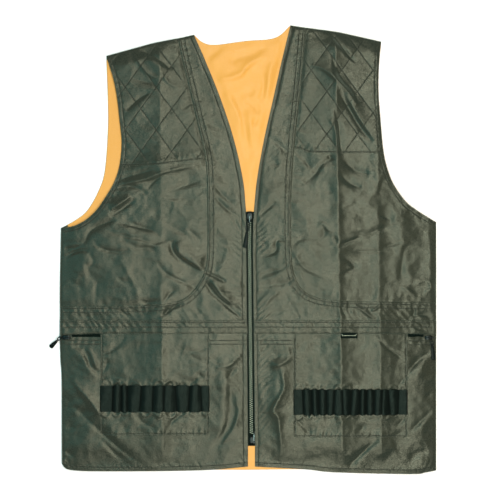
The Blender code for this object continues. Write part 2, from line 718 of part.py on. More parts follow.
def build_front_zip(collection):
    """Tapes and chain between the two fronts, and the box that the chain ends in."""
    count = ZIP_ROWS
    rows = {"zip_tape_right": [], "zip_chain": [], "zip_tape_left": []}
    for step in range(count + 1):
        y = CHAIN_TOP_Y + (CHAIN_BOTTOM_Y - CHAIN_TOP_Y) * step / count
        right = beside(ZIP_EDGE_RIGHT, y)
        left = beside(ZIP_EDGE_LEFT, y)
        middle = (right + left) / 2
        half = CHAIN_WIDTH / 2
        spans = {
            "zip_tape_right": (right + SEAM_GAP, middle - half - SEAM_GAP),
            "zip_chain": (middle - half, middle + half),
            "zip_tape_left": (middle + half + SEAM_GAP, left - SEAM_GAP),
        }
        for name, span in spans.items():
            rows[name].append([Vector((x, y, FRONT_LEVEL)) for x in span])
    wall("zip_tape_right", rows["zip_tape_right"], TAPE_CLOTH, "black_tape", collection)
    wall("zip_tape_left", rows["zip_tape_left"], TAPE_CLOTH, "black_tape", collection)
    wall("zip_chain", rows["zip_chain"], CHAIN_THICKNESS, "dark_metal", collection)
    length, width = ZIP_BOX_SIZE[1], ZIP_BOX_SIZE[0]
    centre = Vector((ZIP_BOX_CENTRE[0], ZIP_BOX_CENTRE[1], FRONT_LEVEL + ZIP_BOX_SIZE[2] / 2))
    bevelled_box("zip_box", centre, (width, length, ZIP_BOX_SIZE[2]), 0.0, "dark_metal", collection)


def bevelled_box(name, centre, size, turn, finish, collection):
    """A box with rounded edges, its length turned in plan."""
    mesh = bpy.data.meshes.new(name)
    bm = bmesh.new()
    bmesh.ops.create_cube(bm, size=1.0)
    bmesh.ops.scale(bm, vec=Vector(size) * MM, verts=bm.verts)
    bmesh.ops.bevel(
        bm, geom=bm.edges[:], offset=SLIDER_BEVEL * MM, segments=BEVEL_SEGMENTS, profile=0.5, affect="EDGES",
    )
    bm.to_mesh(mesh)
    bm.free()
    obj = bpy.data.objects.new(name, mesh)
    obj.location = centre * MM
    obj.rotation_euler = (0.0, 0.0, turn)
    place(obj, finish, collection)
    mesh.shade_smooth()
    mesh.set_sharp_from_angle(angle=SHARP_ANGLE)
    return obj


def slider_base(name):
    """The level that a slider's underside lies at: the zip's own, or just over the cloth."""
    x, y, length, width = next(row[1:5] for row in SLIDERS if row[0] == name)
    if name == "zip_slider":
        return FRONT_LEVEL
    steps = (-0.5, -0.25, 0.0, 0.25, 0.5)
    highest = max(front_height(x + length * i, y + width * j) for i in steps for j in steps)
    return highest + CLOTH + SURFACE_GAP


def build_sliders(collection, helpers):
    """Each slider is a body with a raised rail that its pull hangs from, as one piece."""
    for name, x, y, length, width, height, heading in SLIDERS:
        turn = math.radians(heading)
        base = slider_base(name)
        middle = Vector((x, y, base + height / 2))
        body = bevelled_box(name, middle, (length, width, height), turn, "dark_metal", collection)
        rail = bevelled_box(
            f"{name}_rail", Vector((x, y, base + height)),
            (length * RAIL_SHARE, RAIL_WIDTH, RAIL_HEIGHT * 2), turn, "dark_metal", helpers,
        )
        rail.hide_render = True
        rail.display_type = "WIRE"
        union = body.modifiers.new("rail", "BOOLEAN")
        union.operation = "UNION"
        union.object = rail


def outline_plate(name, outlines, thickness, finish, collection):
    """A flat plate cut to one outline, with any further outlines as holes in it."""
    curve = bpy.data.curves.new(name, "CURVE")
    curve.dimensions = "2D"
    curve.fill_mode = "BOTH"
    curve.extrude = thickness / 2 * MM
    for outline in outlines:
        spline = curve.splines.new("POLY")
        spline.points.add(len(outline) - 1)
        for point, (x, y) in zip(spline.points, outline):
            point.co = (x * MM, y * MM, 0.0, 1.0)
        spline.use_cyclic_u = True
    return place(bpy.data.objects.new(name, curve), finish, collection)


def tapered_oval(start, end, start_width, end_width, arc_steps=ARC_STEPS):
    """Outline with a round end at each end, along x, as a list of plan points."""
    points = []
    for centre, radius, first in (
        (end - end_width / 2, end_width / 2, -90.0),
        (start + start_width / 2, start_width / 2, 90.0),
    ):
        for step in range(arc_steps + 1):
            angle = math.radians(first + 180.0 * step / arc_steps)
            points.append((centre + radius * math.cos(angle), radius * math.sin(angle)))
    return points


def build_pulls(collection):
    """Each pull is a link and a paddle under an empty on the axis that they swing about."""
    heights = {row[0]: row[5] for row in SLIDERS}
    for name, slider, x, y, heading, link_length, paddle_length, droop in PULLS:
        z = slider_base(slider) + heights[slider] + PULL_LIFT
        pivot = bpy.data.objects.new(f"{name}_pivot", None)
        pivot.location = Vector((x, y, z)) * MM
        turn = Matrix.Rotation(math.radians(heading), 4, "Z")
        tip_down = Matrix.Rotation(math.radians(droop), 4, "Y")
        pivot.rotation_euler = (turn @ tip_down).to_euler()
        collection.objects.link(pivot)
        link_start = -LINK_RIM / 2
        link_end = link_start + link_length
        link_outline = tapered_oval(link_start, link_end, LINK_WIDTH, LINK_WIDTH)
        link_hole = tapered_oval(
            link_start + LINK_RIM, link_end - LINK_RIM, LINK_HOLE_WIDTH, LINK_HOLE_WIDTH,
        )
        link = outline_plate(
            f"{name}_link", (link_outline, link_hole), PULL_THICKNESS, "dark_metal", collection,
        )
        paddle_start = link_end + SEAM_GAP
        paddle_outline = tapered_oval(
            paddle_start, paddle_start + paddle_length, PADDLE_NECK_WIDTH, PADDLE_WIDTH,
        )
        paddle = outline_plate(
            f"{name}_pull", (paddle_outline,), PULL_THICKNESS, "dark_plastic", collection,
        )
        for piece in (link, paddle):
            piece.parent = pivot


def build_vest():
    clear_scene()
    collection = bpy.data.collections.new(COLLECTION)
    helpers = bpy.data.collections.new("vest_cutters")
    bpy.context.scene.collection.children.link(collection)
    bpy.context.scene.collection.children.link(helpers)
    build_back(collection)
    for name, front in FRONTS.items():
        build_side_front(name, front, collection)
        build_centre_front(name, front, collection)
        build_lower_front(name, front, collection)
    build_front_zip(collection)
    build_sliders(collection, helpers)
    build_pulls(collection)


build_vest()
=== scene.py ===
"""Looks of a reversible hunting vest that lies flat on a pale floor, front up.

Each cloth piece is a thin shell over a grid of plan points, worked out from the same cut
edges as the part's own walls, and lifted by one function of its place: the fold that the
walls have, creases placed one by one, and fine crumpling. Tables are in millimetres, with x
from the zip towards the wearer's left, y up to the shoulders and z up from the floor.
"""

import json
import math
from types import SimpleNamespace

import bpy
import numpy as np
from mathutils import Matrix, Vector


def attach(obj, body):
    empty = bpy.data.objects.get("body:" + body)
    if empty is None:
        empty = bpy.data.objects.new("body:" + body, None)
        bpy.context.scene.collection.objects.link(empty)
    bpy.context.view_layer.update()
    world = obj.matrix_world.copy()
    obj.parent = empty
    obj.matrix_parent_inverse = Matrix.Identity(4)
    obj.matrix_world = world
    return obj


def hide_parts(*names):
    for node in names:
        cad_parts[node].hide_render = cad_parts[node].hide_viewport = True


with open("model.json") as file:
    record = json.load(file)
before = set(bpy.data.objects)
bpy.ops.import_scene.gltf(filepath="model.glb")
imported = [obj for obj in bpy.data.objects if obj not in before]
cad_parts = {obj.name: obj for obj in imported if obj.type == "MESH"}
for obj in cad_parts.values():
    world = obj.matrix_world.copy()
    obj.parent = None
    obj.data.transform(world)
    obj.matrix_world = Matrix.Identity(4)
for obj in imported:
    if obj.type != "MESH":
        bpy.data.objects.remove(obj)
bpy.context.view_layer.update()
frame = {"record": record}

bl_info = {
    "name": "Reversible Hunting Vest",
    "version": (1, 0, 0),
    "blender": (4, 5, 0),
    "location": "3D View > Sidebar > Vest",
    "description": "Builds the cloth, zips, bands and stitching of a hunting vest laid flat",
    "category": "Add Mesh",
}

MM = 0.001
BODY = "vest"

# Levels of the cloth, from the surface up
FRONT_LEVEL = 3.6
FRONT_EDGE_LEVEL = 1.8
LINING_LEVEL = 1.8
SHELL_TOP = 1.5
BASE_LIFT = 0.6
SHEET = 0.9
SEAM_ALLOWANCE = 6.0
LAP = 3.5
SEAM_GAP = 0.3
SINK = 0.95
BAND_THICKNESS = 1.1

# Cut lines across the fronts
WAISTBAND_BOTTOM_Y = -113.3
UNDER_WAISTBAND = 5.0
PLACKET_BOTTOM_Y = -136.0
ARMHOLE_FOOT_LEVEL = 42.0
BACK_FOOT_Y = 38.0
HEM_Y = -352.0
SHOULDER_Y = 343.0
LENGTH = 700.0
HALF_WIDTH = 300.0
STRIP_WIDTH = 62.0
POCKET_CORNER = 5.0
POCKET_UNDER_PLACKET = 1.2
ZIP_TOP_Y = 45.5
ZIP_BOTTOM_Y = -297.4
ZIP_TAPE_Y = (60.0, -314.0)
TAPE_UNDER_EDGE = 10.0
CHAIN_HALF_WIDTH = 3.05

# Edges drawn from the hem up, columns x, y
SIDE_RIGHT = ((-299.2, -343.0), (-299.4, -209.0), (-301.6, -170.0), (-302.4, -81.0), (-300.5, 34.0))
SIDE_LEFT = ((299.2, -353.0), (299.2, -170.0), (299.4, -60.0), (299.2, 43.0))

# Armhole edges, from the side seam up to the shoulder tip, columns x, y
ARMHOLE_FRONT_RIGHT = (
    (-300.5, 34.0), (-280.0, 37.4), (-260.8, 47.0), (-243.2, 63.0), (-230.0, 82.0), (-216.0, 106.0),
    (-207.0, 132.4), (-203.2, 170.0), (-206.4, 207.0), (-210.0, 239.0), (-216.0, 271.0), (-228.0, 309.0),
)
ARMHOLE_BACK_RIGHT = (
    (-300.5, 34.0), (-277.0, 47.0), (-258.0, 63.0), (-240.0, 95.0), (-230.4, 127.0), (-225.6, 191.0),
    (-225.6, 239.0), (-227.2, 287.0), (-228.0, 309.0),
)
ARMHOLE_LEFT = (
    (299.2, 43.0), (267.2, 63.0), (248.0, 79.0), (227.2, 111.0), (215.0, 152.6), (209.6, 207.0),
    (206.4, 255.0), (208.0, 303.0), (211.2, 331.8),
)

# Shoulder seams from the tip to the neck, columns x, y
SHOULDER_RIGHT = ((-228.0, 309.0), (-174.4, 323.8), (-150.4, 330.2), (-110.4, 338.0), (-88.0, 343.0))
SHOULDER_LEFT = ((211.2, 331.8), (161.6, 343.0), (137.6, 347.8), (87.4, 354.6), (66.4, 358.2))

# V neck and zip edges from the neck down, columns x, y
FRONT_EDGE_RIGHT = (
    (-88.0, 343.0), (-70.4, 303.0), (-44.8, 239.0), (-24.0, 175.0), (-9.6, 111.0), (-4.8, 63.0),
)
FRONT_EDGE_LEFT = (
    (66.4, 358.2), (52.8, 303.0), (38.4, 239.0), (24.0, 175.0), (12.8, 111.0), (8.0, 63.0),
)
ZIP_EDGE_RIGHT = ((-4.8, 63.0), (-1.6, -311.0), (-1.6, -347.0))
ZIP_EDGE_LEFT = ((8.0, 63.0), (6.6, 44.0), (5.8, 10.0), (9.6, -311.0), (9.4, -347.0))

# Curved front seam from the shoulder down and out to the side, columns x, y
CURVED_SEAM_RIGHT = (
    (-110.4, 338.0), (-101.6, 296.6), (-89.6, 247.0), (-78.4, 199.0), (-65.9, 144.0), (-63.4, 68.0),
    (-63.4, 0.0), (-67.5, -35.0), (-82.0, -60.0), (-105.0, -79.0), (-140.0, -87.4), (-222.4, -90.6),
    (-302.3, -90.6),
)
CURVED_SEAM_LEFT = (
    (87.4, 354.6), (79.8, 271.4), (74.7, 220.4), (69.6, 169.4), (64.5, 93.4), (64.5, 0.0),
    (68.0, -35.0), (78.0, -58.0), (100.0, -74.0), (140.8, -81.4), (220.0, -83.6), (299.2, -85.2),
)

# Back neck edge from the wearer's right, columns x, y
BACK_NECK = ((-88.0, 343.0), (-74.0, 331.0), (-54.4, 327.0), (-6.4, 333.0), (41.6, 338.2), (66.4, 358.2))

# Hem edges, columns x, y
HEM_BACK = (
    (-299.2, -343.0), (-285.0, -351.5), (-222.4, -353.5), (-78.4, -352.5), (0.0, -352.5),
    (90.0, -351.8), (137.6, -355.5), (257.6, -358.4), (299.2, -353.0),
)
HEM_RIGHT = ((-299.2, -343.0), (-285.0, -352.5), (-222.4, -354.6), (-78.4, -353.0), (-1.6, -347.0))
HEM_LEFT = (
    (299.2, -353.0), (281.6, -356.5), (257.6, -359.0), (137.6, -356.2), (89.6, -351.4), (9.4, -347.0),
)

# Cartridge band sewing lines from the outer end in, x
LOOP_LINES_RIGHT = (
    -237.3, -217.6, -204.2, -193.8, -173.0, -153.4, -135.3, -116.6, -95.8, -76.2, -63.0,
)
LOOP_LINES_LEFT = (
    253.0, 238.1, 223.5, 211.5, 198.9, 186.9, 176.3, 162.4, 149.1, 135.2, 123.2, 111.4, 99.4, 86.1, 70.9,
)

# What differs between the two fronts, by the wearer's side
FRONTS = {
    "right": {
        "side": SIDE_RIGHT, "armhole": ARMHOLE_FRONT_RIGHT, "shoulder": SHOULDER_RIGHT,
        "front_edge": FRONT_EDGE_RIGHT, "zip_edge": ZIP_EDGE_RIGHT, "seam": CURVED_SEAM_RIGHT,
        "hem": HEM_RIGHT, "loops": LOOP_LINES_RIGHT, "armhole_foot": (-300.5, 34.0),
        "patch_outer": (-207.0, 132.4), "patch_inner": (-65.9, 144.0), "seam_bend": (-82.0, -60.0),
        "side_at_waist": (-302.0, WAISTBAND_BOTTOM_Y), "pocket_bottom": -297.0,
        "band_bottom": -259.4, "band_top": -217.0, "out": -1.0,
        "edge_row": 6.8, "edge_groove": 0.2,
    },
    "left": {
        "side": SIDE_LEFT, "armhole": ARMHOLE_LEFT, "shoulder": SHOULDER_LEFT,
        "front_edge": FRONT_EDGE_LEFT, "zip_edge": ZIP_EDGE_LEFT, "seam": CURVED_SEAM_LEFT,
        "hem": HEM_LEFT, "loops": LOOP_LINES_LEFT, "armhole_foot": (299.2, 43.0),
        "patch_outer": (215.0, 152.6), "patch_inner": (69.0, 162.0), "seam_bend": (78.0, -58.0),
        "side_at_waist": (299.3, WAISTBAND_BOTTOM_Y), "pocket_bottom": -300.0,
        "band_bottom": -264.2, "band_top": -223.4, "out": 1.0,
        "edge_row": 5.4, "edge_groove": 0.6,
    },
}

# Largest folds, in the places where the part's walls have them, columns start x, start y, end x,
# end y, height, half width. FOLD_SHARE of the height is used, because the creases and the crumpling
# stand on it, and a fold's two ends keep FOLD_END of that.
FOLDS = (
    (-212.0, 120.0, -78.0, 152.0, 5.5, 12.0),
    (-238.0, 50.0, -176.0, 92.0, 6.5, 15.0),
    (-205.0, 26.0, -118.0, -4.0, 4.0, 12.0),
    (-190.0, 214.0, -152.0, 250.0, 3.0, 10.0),
    (-170.0, 312.0, -112.0, 274.0, 3.0, 12.0),
    (-116.0, 12.0, -66.0, -40.0, 6.5, 13.0),
    (-60.0, -48.0, -22.0, -96.0, 5.0, 12.0),
    (-140.0, -28.0, -94.0, -60.0, 4.0, 12.0),
    (-54.0, 108.0, -22.0, 60.0, 3.0, 10.0),
    (-268.0, -166.0, -243.0, -208.0, 5.0, 10.0),
    (-272.0, -216.0, -186.0, -330.0, 3.6, 13.0),
    (-288.0, -60.0, -232.0, 14.0, 3.5, 16.0),
    (-36.0, -190.0, -46.0, -300.0, 4.0, 11.0),
    (128.0, 290.0, 196.0, 190.0, 4.5, 13.0),
    (134.0, 338.0, 166.0, 306.0, 3.0, 12.0),
    (92.0, 176.0, 124.0, 120.0, 3.5, 13.0),
    (136.0, 116.0, 190.0, 70.0, 4.0, 15.0),
    (20.0, 84.0, 58.0, 106.0, 3.0, 10.0),
    (140.0, 22.0, 214.0, 40.0, 4.0, 12.0),
    (226.0, 90.0, 256.0, -40.0, 4.5, 16.0),
    (262.0, -206.0, 290.0, -176.0, 5.0, 11.0),
    (30.0, -170.0, 56.0, -190.0, 3.0, 10.0),
    (42.0, -200.0, 40.0, -300.0, 4.0, 11.0),
    (140.0, -342.0, 206.0, -306.0, 5.0, 12.0),
    (262.0, -292.0, 290.0, -262.0, 4.5, 12.0),
    (92.0, -330.0, 124.0, -312.0, 3.0, 12.0),
)
FOLD_END = 0.45
FOLD_SHARE = 0.55
BILLOW = 1.6
BILLOW_LENGTH = 150.0
EDGE_FADE = 26.0
NECK_FADE = 46.0
NECK_FADE_MORE = 40.0
CLOSE_FADE = 9.0

# Creases pressed by storage, columns x at the top, x at the bottom, height, half width, and the
# share of the height that wear has taken at the chest, around PRESSED_WORN_Y
PRESSED_WORN_Y = 85.0
PRESSED_WORN_REACH = 170.0
PRESSED = (
    (-142.4, -137.0, 3.8, 18.0, 0.5),
    (137.5, 150.0, 5.2, 18.0, 0.0),
    (203.0, 212.0, 4.2, 19.0, 0.0),
)

# Creases are drawn wider on the gentle side and narrower on the steep one, and higher, than the
# tables say, and only within a reach of so many half widths
CREASE_GENTLE = 1.1
CREASE_STEEP = 0.5
CREASE_HEIGHT = 1.9
CREASE_REACH = 2.6

# Finer creases placed one by one, columns height, half width, then the points that each runs through
CREASES = (
    # wearer's right, shoulder and chest
    (2.2, 6.3, (-213, 100), (-190, 106), (-162, 113), (-139, 121), (-110, 129), (-80, 134)),
    (-1.0, 5.8, (-216, 106), (-194, 115), (-166, 123), (-146, 128)),
    (-1.2, 4.6, (-163, 95), (-147, 113), (-122, 125)),
    (-1.5, 8.0, (-221, 53), (-200, 66), (-181, 81)),
    (1.8, 6.9, (-221, 63), (-188, 85)),
    (-1.0, 4.6, (-215, 95), (-197, 101), (-179, 98), (-163, 87)),
    (-0.9, 6.9, (-134, 91), (-99, 102), (-70, 114)),
    (-0.6, 4.6, (-141, 85), (-116, 81), (-93, 83)),
    (-0.8, 4.6, (-202, 50), (-178, 38), (-151, 31)),
    (-1.1, 3.4, (-56, 102), (-41, 85), (-23, 69)),
    (-1.2, 3.4, (-56, 85), (-41, 69), (-13, 46)),
    (-0.8, 5.8, (-66, 199), (-50, 195), (-35, 188)),
    (-0.8, 9.2, (-64, 170), (-52, 141)),
    (-1.2, 4.0, (-196, 221), (-178, 238), (-159, 250)),
    (-1.0, 6.9, (-188, 274), (-166, 267), (-147, 263)),
    (-1.5, 5.8, (-174, 319), (-147, 304), (-122, 286)),
    (1.0, 4.6, (-186, 312), (-163, 281), (-140, 271)),
    (0.9, 4.6, (-141, 283), (-128, 265), (-109, 257)),
    (-0.8, 3.4, (-107, 223), (-94, 231), (-83, 234)),
    # wearer's right, lower chest and waist
    (-2.0, 5.8, (-262, 8), (-256, 24), (-244, 35), (-215, 47)),
    (-1.5, 3.4, (-297, -15), (-279, -5), (-264, -2), (-256, -5)),
    (-1.0, 2.9, (-295, -1), (-277, 2), (-262, 8)),
    (-1.0, 3.4, (-256, -5), (-250, -19), (-256, -30)),
    (-0.8, 3.4, (-264, -19), (-256, -36), (-256, -47)),
    (-1.1, 3.4, (-250, 16), (-237, 1), (-210, -5), (-190, -2)),
    (-1.2, 2.9, (-229, 30), (-202, 22), (-171, 15), (-149, 10), (-122, 18)),
    (-1.0, 3.4, (-211, 43), (-178, 35), (-151, 28), (-140, 18)),
    (-0.8, 6.9, (-206, 18), (-178, 2), (-147, 1)),
    (-0.8, 2.9, (-178, 2), (-159, 2), (-147, -5)),
    (-1.0, 5.8, (-136, 43), (-109, 28), (-93, 18)),
    (-1.1, 2.9, (-99, 33), (-87, 22), (-77, 14)),
    (-2.5, 5.8, (-125, 14), (-122, -3), (-109, -17), (-89, -29), (-73, -36)),
    (2.0, 5.8, (-118, 12), (-112, -7), (-97, -19), (-72, -34)),
    (-1.5, 3.4, (-72, -36), (-53, -44), (-37, -53)),
    (-1.5, 4.6, (-147, -19), (-136, -36), (-116, -48), (-93, -58), (-84, -67)),
    (-2.5, 5.8, (-70, -50), (-60, -67), (-45, -81), (-27, -96), (-14, -106)),
    (1.8, 5.8, (-60, -50), (-45, -73), (-27, -87)),
    (-1.0, 3.4, (-136, -85), (-128, -73), (-118, -65)),
    (-1.2, 4.6, (-175, -81), (-163, -87), (-149, -82)),
    (-0.6, 3.4, (-211, -44), (-198, -56)),
    (0.8, 5.8, (-208, -13), (-194, -36), (-182, -62), (-175, -81)),
    (-0.8, 3.4, (-250, -46), (-244, -54), (-246, -69), (-240, -79)),
    (-0.6, 4.6, (-293, -44), (-279, -56), (-264, -62)),
    (-1.8, 3.4, (-140, -108), (-128, -98), (-109, -85)),
    (-0.8, 2.9, (-208, -96), (-194, -108)),
    (-0.5, 2.9, (-229, -100), (-221, -93)),
    (0.5, 3.4, (-287, -112), (-281, -100), (-271, -96)),
    (-0.6, 6.9, (-188, -100), (-167, -102), (-149, -96)),
    (-1.0, 2.9, (-62, 8), (-45, 10), (-31, 4), (-16, 5)),
    (-0.8, 2.9, (-60, 16), (-35, 18), (-18, 14)),
    (0.6, 3.4, (-51, -36), (-39, -29), (-18, -30)),
    (-0.8, 2.9, (-47, -65), (-29, -67), (-14, -69)),
    # wearer's right, below the waist
    (-2.0, 4.0, (-281, -156), (-266, -158), (-260, -171), (-252, -189), (-240, -198)),
    (1.5, 4.0, (-269, -160), (-256, -162), (-248, -177), (-242, -193)),
    (-1.5, 3.4, (-235, -167), (-219, -162), (-206, -150), (-196, -139)),
    (-1.0, 3.4, (-237, -198), (-229, -191), (-225, -175)),
    (-1.0, 3.4, (-237, -202), (-221, -214)),
    (1.5, 6.9, (-284, -206), (-268, -226), (-252, -245), (-238, -264)),
    (-1.0, 4.0, (-281, -249), (-260, -270), (-238, -291), (-210, -315), (-178, -340)),
    (-1.0, 4.6, (-238, -301), (-215, -326), (-194, -348)),
    (-0.8, 3.4, (-291, -284), (-277, -287)),
    (-0.8, 3.4, (-293, -323), (-281, -332)),
    (-0.6, 3.4, (-101, -162), (-84, -163), (-68, -159)),
    (-0.6, 4.6, (-97, -167), (-80, -177), (-66, -179)),
    (-0.8, 3.4, (-84, -198), (-72, -206)),
    (-1.0, 2.9, (-95, -216), (-82, -206)),
    (1.0, 2.1, (-136, -218), (-132, -212), (-122, -209), (-115, -212), (-111, -218)),
    (0.8, 2.1, (-186, -218), (-178, -215), (-169, -220)),
    (0.8, 2.1, (-215, -216), (-210, -210), (-194, -214)),
    (0.8, 2.3, (-149, -262), (-144, -268), (-138, -262)),
    (-1.0, 3.4, (-128, -287), (-122, -274), (-103, -262)),
    (-0.8, 5.8, (-186, -261), (-167, -278), (-149, -286)),
    (-2.0, 5.8, (-32, -217), (-29, -241), (-29, -265), (-37, -289), (-53, -313), (-69, -335)),
    (1.5, 5.2, (-21, -238), (-18, -263), (-26, -286), (-43, -311)),
    (-1.0, 3.4, (-62, -173), (-49, -181)),
    (1.0, 3.4, (-52, -189), (-31, -185), (-12, -167)),
    (-1.2, 3.4, (-35, -206), (-20, -189)),
    # wearer's left, shoulder
    (-1.8, 3.4, (128, 347), (145, 326), (163, 304), (171, 298)),
    (-2.0, 8.0, (132, 316), (137, 292), (149, 269), (165, 253), (173, 233)),
    (1.8, 5.8, (100, 294), (120, 286), (141, 269), (159, 249), (173, 229)),
    (-1.5, 6.9, (141, 253), (159, 225), (177, 194), (196, 171)),
    (1.2, 4.6, (153, 249), (175, 210), (202, 171)),
    (-2.0, 5.8, (137, 225), (142, 196), (144, 172), (147, 151)),
    (1.0, 3.4, (128, 208), (138, 188), (139, 157)),
    (-1.0, 4.6, (73, 157), (100, 129)),
    (-1.2, 5.8, (88, 106), (106, 120), (116, 135), (137, 147)),
    (-1.0, 2.9, (126, 149), (132, 143)),
    (-1.2, 6.9, (145, 147), (169, 126), (190, 121)),
    (-1.5, 5.8, (143, 121), (159, 106), (179, 98)),
    (0.8, 4.6, (149, 67), (169, 75)),
    (-1.0, 6.9, (206, 57), (230, 45)),
    (-1.0, 9.2, (214, 110), (206, 86), (208, 57)),
    (-1.2, 4.6, (32, 178), (47, 167), (61, 153)),
    (-1.0, 5.8, (26, 147), (47, 133)),
    (-1.2, 4.0, (18, 51), (28, 63), (43, 75)),
    (-0.5, 3.4, (51, 249), (75, 245)),
    # wearer's left, lower chest and waist
    (0.9, 3.4, (110, 35), (118, 41), (126, 31), (137, 28)),
    (-0.8, 3.4, (114, 16), (122, 26), (118, 35)),
    (-1.0, 5.8, (68, 2), (83, 16), (114, 18)),
    (-1.2, 5.8, (141, 23), (170, 26), (195, 26), (236, 39)),
    (-1.5, 2.9, (141, 3), (160, 12), (180, 19)),
    (-1.2, 2.3, (133, 20), (141, 9)),
    (-1.0, 2.3, (155, -1), (176, -4), (205, -4), (224, -6)),
    (-1.0, 2.9, (209, 1), (224, 6), (240, 10), (246, 16)),
    (-1.2, 4.6, (141, -9), (157, -17), (168, -29), (157, -36), (145, -42)),
    (-1.2, 6.9, (250, 9), (244, -21), (242, -50)),
    (0.9, 7.0, (291, -112), (290, -11), (287, 56)),
    (1.2, 3.4, (242, -58), (257, -69), (267, -79)),
    (1.0, 3.4, (261, -58), (282, -50), (291, -60), (282, -69), (280, -79)),
    (-0.8, 2.9, (13, 14), (29, 6)),
    (-1.2, 4.0, (15, -11), (31, -9), (44, -2), (44, 12), (58, 16)),
    (-0.8, 4.6, (17, -42), (40, -36), (62, -29)),
    (-1.0, 4.6, (19, -65), (36, -58), (60, -54), (73, -46)),
    (0.8, 4.6, (25, -89), (35, -77), (48, -69)),
    (-0.8, 3.4, (31, -110), (40, -102), (60, -98)),
    (0.8, 5.8, (69, -3), (89, -30), (118, -44), (137, -50)),
    (-1.0, 3.4, (145, -89), (151, -104)),
    (1.2, 3.4, (168, -89), (184, -100), (201, -112)),
    (-1.2, 3.4, (253, -114), (265, -100), (257, -89)),
    (-1.5, 4.6, (261, -108), (279, -104), (294, -112)),
    (1.0, 2.9, (195, -100), (211, -89)),
    # wearer's left, below the waist
    (-1.8, 3.4, (17, -156), (29, -170), (44, -179)),
    (-1.5, 2.9, (23, -156), (38, -166), (48, -177)),
    (1.5, 4.0, (35, -187), (48, -185), (62, -177), (70, -173)),
    (-1.0, 2.9, (66, -158), (70, -167)),
    (-0.8, 3.4, (17, -208), (27, -216)),
    (
        2.0, 5.8, (49, -187), (54, -206), (55, -222), (48, -237), (37, -257), (46, -268),
        (48, -286), (50, -307), (51, -340),
    ),
    (-2.2, 2.6, (259, -121), (275, -128), (292, -132)),
    (-2.0, 2.6, (262, -112), (278, -122), (293, -127)),
    (-2.0, 2.6, (268, -150), (281, -143), (294, -139)),
    (-1.8, 2.6, (262, -141), (278, -139), (293, -136)),
    (-2.0, 4.6, (252, -199), (267, -181), (289, -164)),
    (-1.2, 2.9, (201, -138), (221, -158), (248, -177)),
    (-0.8, 3.4, (283, -237), (297, -226)),
    (-1.8, 5.8, (256, -292), (273, -276), (292, -257)),
    (-2.2, 5.8, (159, -348), (176, -330), (192, -315), (207, -303)),
    (1.0, 9.2, (196, -334), (234, -315)),
    (-1.5, 5.8, (258, -338), (269, -327), (285, -323)),
    (-0.8, 4.6, (75, -272), (89, -286), (99, -295)),
    (-0.8, 4.6, (174, -295), (188, -276)),
    (-1.0, 3.4, (236, -282), (250, -270)),
    (-0.8, 3.4, (228, -298), (252, -290)),
    (0.6, 2.3, (71, -210), (87, -216), (93, -222)),
    (0.8, 2.3, (114, -222), (124, -216)),
    (-0.8, 3.4, (240, -214), (254, -202)),
)

# Creases of the lining inside the neck, the same columns
LINING_CREASES = (
    (-1.6, 6.0, (-72, 300), (-58, 312), (-43, 322)),
    (-1.8, 6.5, (-30, 297), (-18, 306), (-2, 310), (14, 317), (30, 323)),
    (-1.5, 5.0, (17, 282), (23, 270), (23, 256), (17, 235)),
    (-1.3, 4.5, (-15, 243), (-2, 249), (10, 252)),
    (-1.3, 4.5, (-6, 238), (8, 229), (15, 216)),
    (-0.9, 3.0, (4, 192), (9, 201), (14, 212)),
    (1.8, 5.0, (-51, 268), (-32, 273), (-13, 279), (-3, 292), (12, 302), (26, 308)),
    (1.2, 7.0, (-38, 250), (-20, 222), (-10, 190)),
    (1.0, 7.0, (-2, 226), (2, 196), (4, 160)),
    (-1.0, 6.0, (-26, 246), (-14, 218), (-5, 176), (-1, 140)),
    (1.2, 6.0, (36, 300), (30, 272), (27, 240)),
    (-1.0, 5.0, (-62, 282), (-48, 262), (-40, 244)),
)

# Lower edge of the quilted patches, from the armhole in, columns x, y
PATCH_BOTTOM = {
    "right": ((-207.0, 132.4), (-176.0, 133.6), (-142.4, 135.0), (-104.0, 139.6), (-69.5, 144.0)),
    "left": ((215.0, 152.6), (182.0, 153.0), (126.0, 153.6), (96.0, 154.4), (85.0, 159.0), (72.5, 162.0)),
}

# Lower edge of the waist plackets, from the side in, columns x, y
PLACKET_BOTTOM = {
    "right": ((-300.8, -137.6), (-276.0, -136.6), (-236.0, -134.6), (-120.0, -134.2), (-1.6, -134.6)),
    "left": ((299.2, -136.6), (260.0, -135.0), (180.0, -134.2), (90.0, -134.4), (9.7, -134.8)),
}

# Diamond quilting of the shoulder patches, and the arches of the cartridge loops
QUILT_SPACING = 40.0
QUILT_ANGLE = math.radians(54.0)
QUILT_SHIFT = 0.2
LOOP_RISE = 3.0
LOOP_END_RISE = 1.0
LOOP_LEAN = 0.16

# Rows of stitches: distances from the edge or seam that they follow, and heights y of the straight
# ones. NO_ROW stands for a distance where there is no row.
TURNED_ROW = 6.4
PATCH_ROW = 2.4
POCKET_ROW = 2.6
SEAM_ROWS = (4.0, 10.0)
PLACKET_ROWS_Y = (-116.4, -124.2)
LOWER_ROWS_Y = (-145.5, -151.5)
ZIP_ROW_Y = (-138.0, -342.0)
POCKET_ROW_TOP_Y = -138.0
STITCH_LIFT = 0.16
NO_ROW = 30.0

